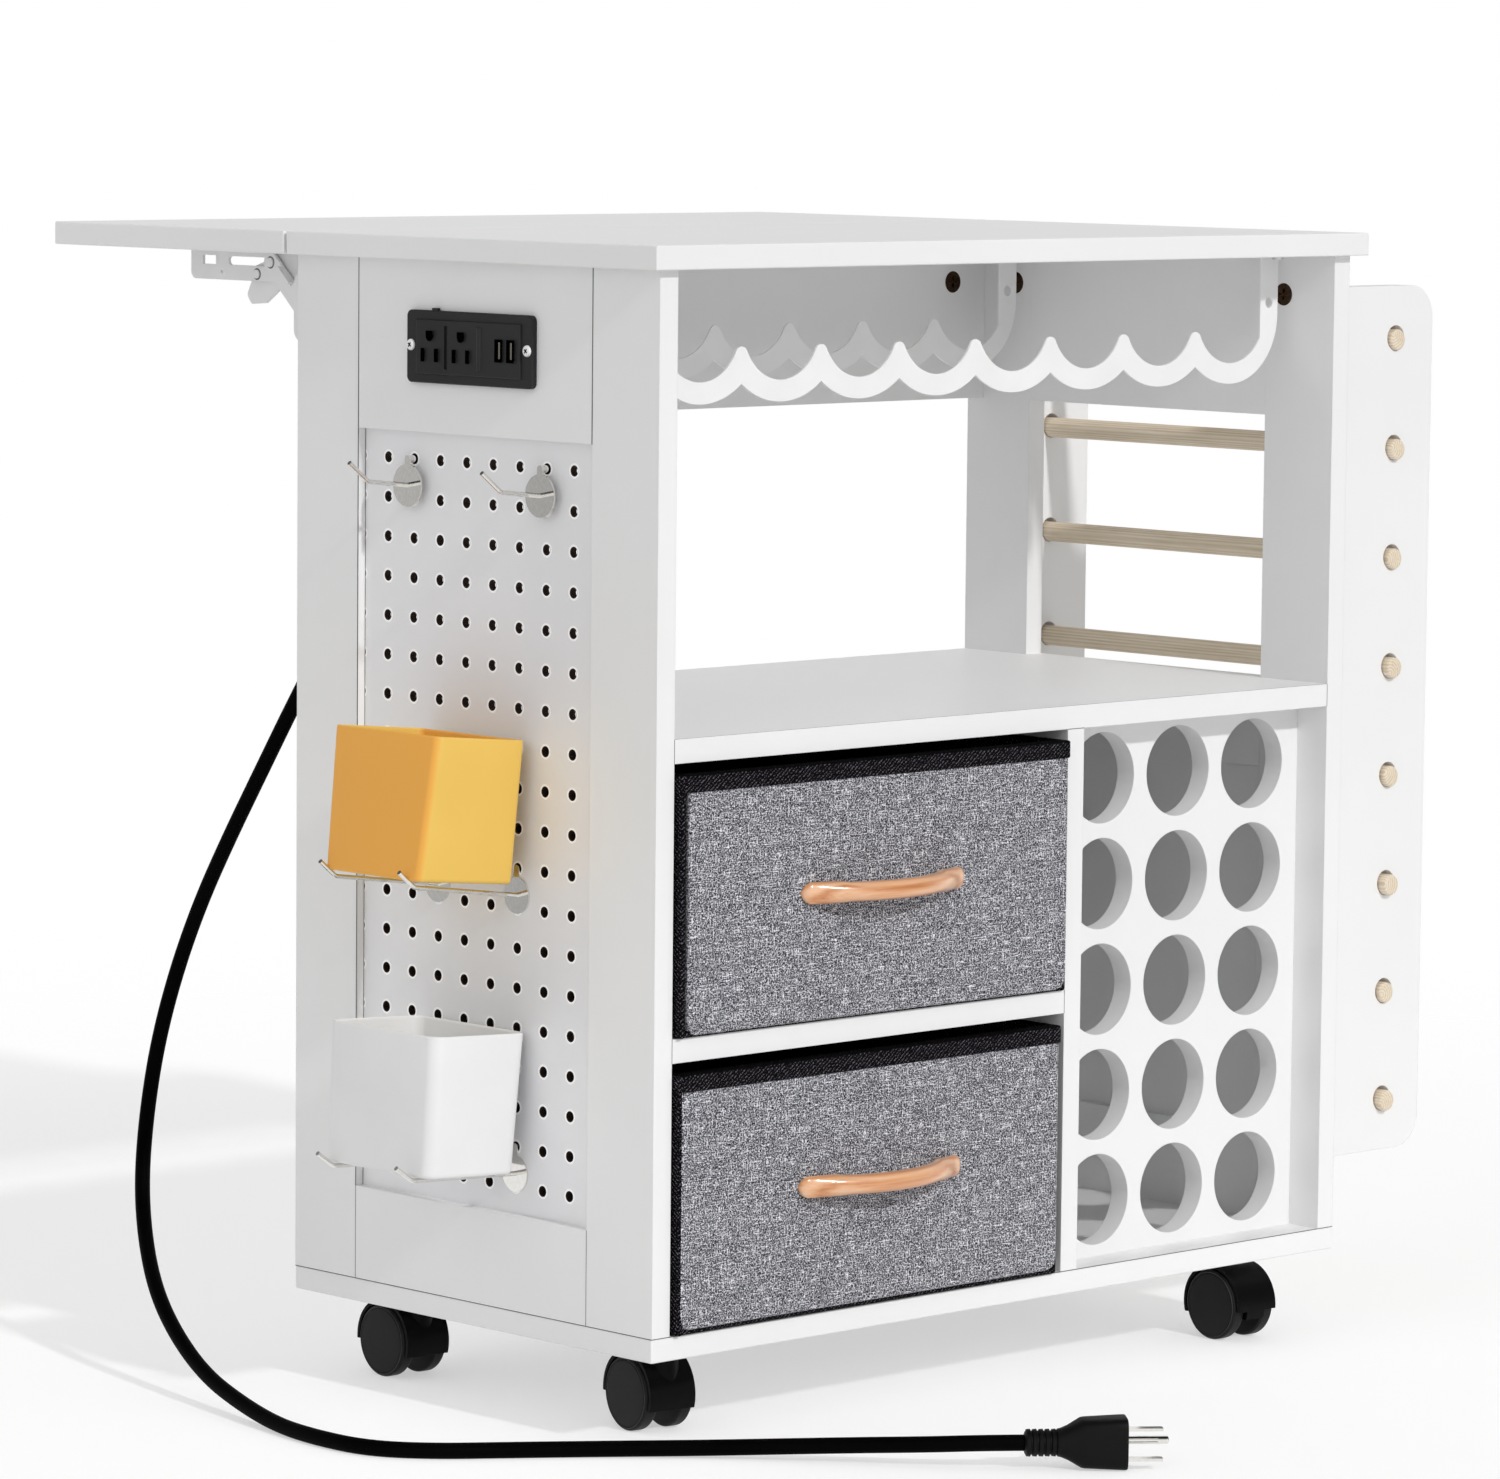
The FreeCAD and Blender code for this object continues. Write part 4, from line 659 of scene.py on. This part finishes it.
def bow_handle(name, node, body):
    """Rounded section carried along the bow between its outer and inner arcs, slimmer than its two feet.

    The feet keep the pad's thickness (fourth-power blend of arc and pad); their ends round off both ways."""
    cx, _, z = middle_mm(node)
    lead = BOW_HALF - TIP_ROUND
    end = TIP_ROUND * np.sin(np.linspace(0, math.pi / 2, 11))
    x = np.concatenate([-(lead + end[::-1]), np.linspace(-lead, lead, 81)[1:-1], lead + end])
    tip = np.clip((np.abs(x) - lead) / TIP_ROUND, 0, 1)
    foot = np.clip((np.abs(x) - 38.0) / 8.0, 0, 1)
    foot = foot * foot * (3 - 2 * foot)
    bow = (arc_depth(x, BOW_HALF, BOW_RISE) ** 4 + FOOT_PAD ** 4) ** 0.25
    out = bow * np.sqrt(np.maximum(1 - tip ** 2.2, 0))
    into = np.where(np.abs(x) < BAY_HALF, arc_depth(x, BAY_HALF, BAY_RISE), 0.0)
    height = (6.2 + 0.7 * foot) * np.sqrt(np.maximum(1 - tip ** 2, 0.0)) + 0.01
    c, s = superellipse(36, 2.3)
    middle, reach = (out + into) / 2, np.maximum((out - into) / 2, 0.05)
    y = np.minimum(-6.0 - middle[:, None] - reach[:, None] * c, -5.9)
    grid = np.stack([cx + x[:, None] + 0 * c, y, z + height[:, None] * s], -1)
    grain = np.stack([x[:, None] + 0 * c + z * 3, y + 40.0 + middle[:, None], height[:, None] * s + 12.0], -1)
    first, last = (end.mean(1, keepdims=True).repeat(36, 1) for end in (grid[:1], grid[-1:]))
    grid = np.concatenate([first, grid, last])
    grain = np.concatenate([grain[:1], grain, grain[-1:]])
    piece(name, [patch(grid, close_columns=True, grain=grain)], BEECH, body, replaces=(node,))


bow_handle("upper_bow_handle", "handle_upper", "upper_drawer")
bow_handle("lower_bow_handle", "handle_lower", "lower_drawer")


# Plastic bins on their hooks

BIN_WALL, BIN_FLOOR = 1.5, 1.8


def bin_shell(name, node, body, corner, lift, height, lean, low, high, material):
    """Open bin as loops lofted up the outside, over the round rim and down the inside to its floor.

    A loop is a round-cornered rectangle. Low and high are its outer, inner, front and back sides at the foot
    and at the rim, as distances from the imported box's own sides; the loops lean with the wall."""
    (x0, x1), (y0, y1), (z0, _) = box_mm(node)
    slope = math.tan(math.radians(lean))
    low, high = (np.array((x0, x1, y0, y1)) + np.array(sides) for sides in (low, high))
    rise = [(0.0, 30.0), (0.0, 1.8), (0.5, 0.7), (1.6, 0.1), (3.0, 0.0), (30.0, 0.0), (60.0, 0.0),
            (height - 1.5, 0.0), (height - 0.4, 0.25), (height, 0.8), (height - 0.3, 1.3),
            (height - 1.5, BIN_WALL), (60.0, BIN_WALL), (30.0, BIN_WALL), (3.0, BIN_WALL),
            (BIN_FLOOR, 3.0), (BIN_FLOOR, 30.0)]
    turn = (np.arange(4)[:, None] * math.pi / 2 + np.linspace(0, math.pi / 2, 9)).ravel()
    loops = []
    for up, inward in rise:
        outer, inner, front, back = low + (high - low) * up / height + inward * np.array((1, -1, 1, -1))
        r = max(corner - inward, 2.0)
        x = np.repeat((inner - r, outer + r, outer + r, inner - r), 9) + r * np.cos(turn)
        y = np.repeat((back - r, back - r, front + r, front + r), 9) + r * np.sin(turn)
        loops.append(np.stack([x, y, z0 + lift + up + (low[1] - x) * slope], -1))
    ends = [loop.mean(0, keepdims=True).repeat(len(turn), 0) for loop in (loops[0], loops[-1])]
    piece(name, [patch(np.array([ends[0], *loops, ends[1]]), close_columns=True)], material, body, sharp=60,
          replaces=(node,))


bin_shell("upper_bin_shell", "bin_upper", "upper_bin", 5.5, 0.9, 90.3, 5.4,
          (-3.5, -12.6, 1.4, -7.9), (8.1, -6.5, -2.9, -3.3),
          YELLOW_PP)
bin_shell("lower_bin_shell", "bin_lower", "lower_bin", 9.0, 0.7, 88.4, 3.0,
          (-1.0, -12.4, -2.6, 0.0), (3.6, -3.6, -3.4, 0.8),
          WHITE_PP)


# Fabric drawers

CORNER_ROUND = 8.0
BELLY = 0.7
PANEL = 4.6


def drawer(name, node, body, strip, inset, lift_low):
    """Stiff panels in cloth: linen front, black sides, back and bottom, and a folded binding along the top.

    The strip is the black cloth seen at the left of the linen, the inset is how far the right side stays
    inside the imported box, and the lift is the height of the linen's lower edge."""
    (x0, x1), (y0, y1), (z0, z1) = box_mm(node)
    x1 -= inset
    shift = z0 * 5.0

    def panel_shape(grid):
        """Lower corners go round and the front bellies between its edges.

        In a corner's square the point at (a, b) from the circle's middle moves to (a, b) times max(a, b) over
        its length, which turns the square's outline into the quarter circle."""
        shaped = grid.copy()
        lift = np.maximum(z0 + lift_low + CORNER_ROUND - grid[..., 2], 0)
        for edge, way in ((x0 + strip, 1), (x1 - 1.2, -1)):
            side = np.maximum(CORNER_ROUND - way * (grid[..., 0] - edge), 0)
            both = np.hypot(side, lift)
            in_corner = (side > 0) & (lift > 0)
            pull = np.where(in_corner, np.maximum(side, lift) / np.maximum(both, 1e-9), 1.0)
            shaped[..., 0] += way * side * (1 - pull)
            shaped[..., 2] += lift * (1 - pull)
        u = np.clip((grid[..., 0] - x0) / (x1 - x0), 0, 1)
        v = np.clip((grid[..., 2] - z0) / (z1 - z0), 0, 1)
        belly = BELLY * np.sin(u * math.pi) ** 0.5 * np.sin(v * math.pi) ** 0.5
        wave = 0.09 * np.sin(u * 23.0 + 1.3) * np.sin(v * 11.0 + 0.4) * np.sin(u * math.pi)
        shaped[..., 1] = np.where(grid[..., 1] < y0 + 3.5, grid[..., 1] + BELLY - belly + wave, grid[..., 1])
        return shaped

    front = rounded_slab((x0 + strip, x1 - 1.2), (y0, y0 + 7.5), (z0 + lift_low, z1 - 3.0), 2.6, 6,
                         panel_shape)
    for part in front:
        part["cloth"] = part["cloth"] + shift
    piece(name + "_linen_front", front, LINEN, body, replaces=(node,))
    walls, top = [], z1 - 1.0
    for x, y, z, radius in (((x0, x0 + PANEL), (y0 + 1.2, y1), (z0, top), 1.8),
                            ((x1 - PANEL, x1), (y0 + 2.4, y1), (z0, top), 1.8),
                            ((x0 + 1, x1 - 1), (y1 - PANEL, y1), (z0, top), 1.8),
                            ((x0 + 1, x1 - 1), (y0 + 3.0, y1 - 1), (z0, z0 + PANEL), 1.6),
                            ((x0 + 4.0, x1 - 4.0), (y0 + 4.8, y0 + 8.6), (z0 + 1, top), 1.2)):
        walls += rounded_slab(x, y, z, radius, 3)
    piece(name + "_black_cloth", walls, TWILL_TAPE, body, replaces=(node,))
    low = z1 - 11.0
    binding = rounded_slab((x0 + 1.0, x1 - 1.6), (y0 - 0.9, y0 + 9.4), (low, z1 + 0.3), 1.3, 4)
    for x, y, high in (((x0 - 0.6, x0 + 5.4), (y0 + 1.4, y1 + 0.4), z1 + 0.2),
                       ((x1 - 5.8, x1 - 0.4), (y0 + 2.0, y1 + 0.4), z1 + 0.2),
                       ((x0, x1), (y1 - 5.4, y1 + 0.5), z1 + 0.25)):
        binding += rounded_slab(x, y, (low, high), 1.2, 3)
    piece(name + "_binding", binding, TWILL_TAPE, body, replaces=(node,))


drawer("upper_drawer", "drawer_upper", "upper_drawer", 6.2, 0.0, 1.2)
drawer("lower_drawer", "drawer_lower", "lower_drawer", 0.9, 5.0, 3.0)


# Hairlines where boards meet: painted shade in the joints

PROUD = 0.06        # flat marks stand this far off their face


def hairline(a, b, normal, width=0.5):
    """Narrow ribbon from a to b on a face: the line's two ends, spread sideways by half the width each."""
    a, b, n = np.array(a, float), np.array(b, float), np.array(normal, float)
    side = np.cross(b - a, n)
    side = side / np.linalg.norm(side) * width / 2
    return patch(np.array([[a - side, a + side], [b - side, b + side]]) + n * PROUD)


def joint_lines():
    left, right, front, back = (-1, 0, 0), (1, 0, 0), (0, -1, 0), (0, 1, 0)
    lines = []
    for face, x, low_top in ((left, 0.0, LOW_RAIL_TOP), (right, WIDTH, LOW_RAIL_TOP)):
        for y in (STILE, DEPTH - STILE):
            lines.append(hairline((x, y, BASE_TOP), (x, y, low_top), face))
            lines.append(hairline((x, y, RAIL_LOW), (x, y, UNDER_TOP), face, 0.9))
        lines.append(hairline((x, 0, BASE_TOP), (x, DEPTH, BASE_TOP), face))
    for x in (0.0, RECESS):
        lines.append(hairline((x, DEPTH - STILE, LOW_RAIL_TOP), (x, DEPTH - STILE, RAIL_LOW), left, 1.0))
    for y in (STILE, DEPTH - STILE):
        lines.append(hairline((WIDTH, y, PANEL_RAIL_LOW), (WIDTH, y, MID_SHELF_TOP), right))
    lines.append(hairline((0, 0, BASE_TOP), (WIDTH, 0, BASE_TOP), front))
    for x, low, high in ((BOARD, MID_SHELF, MID_SHELF_TOP), (WIDTH - BOARD, MID_SHELF, MID_SHELF_TOP),
                         (BOARD, LOW_SHELF, LOW_SHELF_TOP), (DIVIDER_X, LOW_SHELF, LOW_SHELF_TOP)):
        lines.append(hairline((x, 0, low), (x, 0, high), front))
    lines.append(hairline((DIVIDER_X, 0, MID_SHELF), (DIVIDER_X + BOARD, 0, MID_SHELF), front))
    lines.append(hairline((BOARD, 0.4, MID_SHELF_TOP), (WIDTH - BOARD, 0.4, MID_SHELF_TOP), (0, 0, 1), 0.8))
    for x in (BOARD, WIDTH - BOARD):
        lines.append(hairline((x, DEPTH, RAIL_LOW), (x, DEPTH, UNDER_TOP), back))
        lines.append(hairline((x, DEPTH, MID_SHELF), (x, DEPTH, MID_SHELF_TOP), back))
    lines.append(hairline((0, DEPTH, BASE_TOP), (WIDTH, DEPTH, BASE_TOP), back))
    # The ribbons are painted shade: the shadow line in each joint
    piece("board_joint_lines", lines, JOINT_SHADE_MATERIAL, "cart", flat=True)


joint_lines()


def ring(y, z, x, inner, outer, way):
    """Flat ring about an axis along x: two circles of points, just off the face."""
    loops = [[(x + PROUD * way, y + r * math.cos(t), z + r * math.sin(t)) for t in full_turn(32)]
             for r in (inner, outer)]
    return patch(np.array(loops), close_columns=True)


SHADE_LINE_WIDTH = 0.9


def bracket_marks():
    """Painted shade: dark rings round the brackets' rivet heads and dark lines under each strut's lip, on both
    sides.
    """
    fold = np.array((DEPTH + 18.0, UNDER_TOP - 22.0))
    wall_pin = np.array((DEPTH + 10.0, UNDER_TOP - 47.1))
    slot_pin, lever_pin = fold + (35.7, 14.7), fold + (53.3, 6.6)
    way = (slot_pin - wall_pin) / np.linalg.norm(slot_pin - wall_pin)
    up = np.array((-way[1], way[0]))
    lip_start, lip_end = wall_pin + way * 34.0 + up * 3.9, slot_pin - way * 10.0 + up * 3.9
    for body, rows, lips in (("struts", ((slot_pin, 21.4, 3.1),), ((lip_start, lip_end, 21.4),)),
                             ("leaf", ((lever_pin, 24.8, 2.9),), ()),
                             ("cart", ((fold, 19.0, 4.5), (wall_pin, 19.0, 4.5)), ())):
        marks = []
        for mirror in (False, True):
            out = 1 if mirror else -1
            for (y, z), x, r in rows:
                marks.append(ring(y, z, WIDTH - x if mirror else x, r, r + SHADE_LINE_WIDTH, out))
            for (y0, z0), (y1, z1), x in lips:
                x = WIDTH - x if mirror else x
                marks.append(hairline((x, y0, z0), (x, y1, z1), (out, 0, 0), SHADE_LINE_WIDTH))
        piece(body + "_bracket_painted_shade", marks, JOINT_SHADE_MATERIAL, body, flat=True)


bracket_marks()


def outlet_mouths():
    """The outlet's openings as flat black shapes of painted shade: two sockets of two blades and a ground, and
    two ports.

    A ground opening is flat above and a half circle below. A pale tongue stands in each port."""
    x = box_mm("outlet_housing")[0][0] - 0.05
    _, y, z = middle_mm("outlet_housing")
    mouths, tongues = [], []

    def mouth(at, up, width, height, round_low=False):
        across = np.linspace(-width / 2, width / 2, 9)
        drop = np.sqrt(np.maximum((width / 2) ** 2 - across ** 2, 0)) if round_low else 0 * across
        low = up - height / 2 + (width / 2 - drop if round_low else 0)
        mouths.append(patch([[(x, y + at + a, z + up + height / 2) for a in across],
                             [(x, y + at + a, z + down) for a, down in zip(across, low + 0 * across)]]))

    for at in (35.0, 5.5):
        mouth(at - 6.35, -5.0, 3.4, 8.4)
        mouth(at + 6.35, -5.0, 3.4, 8.4)
        mouth(at, 6.9, 6.6, 6.6, True)
    for at in (-30.0, -41.0):
        mouth(at, 0.0, 7.0, 14.2)
        tongues += rounded_slab((x - 0.5, x + 0.4), (y + at - 1.8, y + at - 0.6), (z - 5.0, z + 5.4), 0.3, 2)
    # Black mouths: painted shade where the openings' insides are dark
    piece("outlet_mouths", mouths, SLOT_SHADE_MATERIAL, "cart", flat=True)
    piece("port_tongues", tongues, CONTACT_PLASTIC, "cart")


outlet_mouths()


SCREW_REACH, DOME = 54.6, 1.5


def screw_caps():
    """The outlet's two painted screw heads, domed discs with a black cross of painted shade for the cross
    slot.
    """
    x = box_mm("outlet_faceplate")[0][0]
    _, y, z = middle_mm("outlet_faceplate")
    heads, crosses = [], []
    for side in (-SCREW_REACH, SCREW_REACH):
        rows = []
        for out, r in ((0.0, 3.6), (0.7, 3.5), (1.2, 3.0), (1.45, 1.8), (DOME, 0.05)):
            rows.append([(x - out, y + side + r * math.cos(t), z + r * math.sin(t)) for t in full_turn(32)])
        heads.append(patch(rows, close_columns=True))
        centre = np.array((x - DOME, y + side, z))
        for way in (np.array((0, 0.8, 0.6)), np.array((0, -0.6, 0.8))):
            crosses.append(hairline(centre - way * 1.7, centre + way * 1.7, (-1, 0, 0), 0.9))
    piece("outlet_screw_heads", heads, WHITE_ENAMEL, "cart")
    piece("outlet_screw_crosses", crosses, SLOT_SHADE_MATERIAL, "cart", flat=True)


screw_caps()


WHEEL_FACE, BEAD_RING, BEAD = 18.0, 21.8, 0.22


def wheel_caps():
    """Smooth cap over each wheel's outer face, and the fine bead round it: a thin tube bent into a circle,
    lighter grey as a painted highlight.
    """
    turn = full_turn(64)
    t, q = np.meshgrid(turn, full_turn(8), indexing="ij")
    radius = BEAD_RING + BEAD * np.cos(q)
    for corner, degrees in (("fl", -9.0), ("rl", -3.0), ("fr", 176.0), ("rr", 192.0)):
        centre = np.array(middle_mm("caster_wheels_" + corner))
        c, s = math.cos(math.radians(degrees)), math.sin(math.radians(degrees))
        axle, level, up = np.array(((c, s, 0), (-s, c, 0), (0, 0, 1)))
        beads, caps = [], []
        for side in (-1, 1):
            out = side * (WHEEL_FACE + BEAD * np.sin(q))
            points = centre + out[..., None] * axle + (radius * np.cos(t))[..., None] * level
            points[..., 2] += radius * np.sin(t)
            beads.append(patch(points, close_rows=True, close_columns=True))
            rows = []
            for r, proud in ((21.7, 17.2), (21.7, 17.95), (20.0, 18.1), (12.0, 18.3), (0.05, 18.35)):
                rows.append(centre + side * proud * axle + r * np.cos(turn)[:, None] * level
                            + r * np.sin(turn)[:, None] * up)
            caps.append(patch(rows, close_columns=True))
        piece("wheel_rim_" + corner, beads, RIM_HIGHLIGHT_NYLON, "wheel_pair_" + corner)
        piece("wheel_cap_" + corner, caps, WHEEL_NYLON, "wheel_pair_" + corner)


wheel_caps()


# Floor, background and studio light

PLAIN_SHARE, PLAIN_LIGHT = 0.4, 1.2
SURROUND = 0.57


def floor_material():
    """White studio floor. Seen directly, two fifths of it is plain white and the rest takes light and shadow.

    It fades to the white background away from the cart."""
    material, tree = blank("white_studio_floor")
    place = add(tree, "TexCoord").outputs["Object"]
    away = add(tree, "VectorMath", {0: place}, operation="LENGTH").outputs["Value"]
    fade = add(tree, "MapRange", {0: away, 1: 0.9, 2: 2.2}, interpolation_type="SMOOTHSTEP")
    path = add(tree, "LightPath")
    direct = add(tree, "Math", {0: path.outputs["Is Camera Ray"], 1: path.outputs["Is Glossy Ray"]},
                 operation="MAXIMUM")
    direct = add(tree, "Math", {0: direct, 1: path.outputs["Is Transmission Ray"]}, operation="MAXIMUM")
    share = add(tree, "Math", {0: direct, 1: PLAIN_SHARE}, operation="MULTIPLY")
    matt = add(tree, "BsdfDiffuse", {"Color": linear("#FAFAFA")})
    plain = add(tree, "Emission", {"Color": linear("#FFFFFF"), "Strength": PLAIN_LIGHT})
    lit = add(tree, "MixShader", {0: share, 1: matt, 2: plain})
    clear = add(tree, "BsdfTransparent")
    both = add(tree, "MixShader", {0: fade, 1: lit, 2: clear})
    add(tree, "OutputMaterial", {"Surface": both})
    return material


def make_floor():
    mesh = bpy.data.meshes.new("studio_floor")
    mesh.from_pydata([(-4, -4, 0), (4, -4, 0), (4, 4, 0), (-4, 4, 0)], [], [(0, 1, 2, 3)])
    mesh.materials.append(floor_material())
    made = put("studio_floor", mesh)


def make_world():
    """Even studio surround, plain white seen directly.

    Mirrors see that backdrop behind the cart, a pale screen behind the camera, and the dark studio between
    them and overhead, which gives bright metal its dark edges."""
    world = bpy.data.worlds.new("studio")
    world.use_nodes = True
    tree = world.node_tree
    tree.nodes.clear()
    path = add(tree, "LightPath")
    way = add(tree, "TexCoord").outputs["Generated"]
    ahead = add(tree, "VectorMath", {0: way, 1: (0.6, 0.8, 0.0)}, operation="DOT_PRODUCT").outputs["Value"]
    beside = add(tree, "Math", {0: ahead, 1: 0.12}, operation="ADD")
    beside = add(tree, "Math", {0: beside}, operation="ABSOLUTE")
    mirrored = add(tree, "MapRange", {0: beside, 1: 0.22, 2: 0.45, 3: 0.06, 4: 0.95})
    height = add(tree, "SeparateXYZ", {0: way}).outputs["Z"]
    overhead = add(tree, "MapRange", {0: height, 1: 0.25, 2: 0.6, 3: 1.0, 4: 0.12})
    mirrored = add(tree, "Math", {0: mirrored, 1: overhead}, operation="MULTIPLY")
    seen = add(tree, "Math", {0: path.outputs["Is Camera Ray"], 1: path.outputs["Is Transmission Ray"]},
               operation="MAXIMUM")
    level = add(tree, "Mix", {0: path.outputs["Is Glossy Ray"], 2: SURROUND, 3: mirrored})
    level = add(tree, "Mix", {0: seen, 2: level, 3: 1.0})
    light = add(tree, "Background", {"Color": (1, 1, 1, 1), "Strength": level})
    add(tree, "OutputWorld", {"Surface": light})
    bpy.context.scene.world = world


def far_light(name, way, width_degrees, strength):
    """A far lamp: light from one side with no fall-off down the cart. Its width softens shadows' edges."""
    data = bpy.data.lights.new(name, "SUN")
    data.energy = strength
    data.angle = math.radians(width_degrees)
    lamp = put(name, data)
    lamp.rotation_mode = "QUATERNION"
    lamp.rotation_quaternion = (-Vector(way)).to_track_quat("-Z", "Y")


make_floor()
make_world()
far_light("front_light", (-0.065, -0.84, 0.54), 3.0, 1.52)
far_light("side_light", (-0.9, 0.0, 0.43), 60.0, 0.27)

bpy.context.scene.view_settings.view_transform = "Standard"
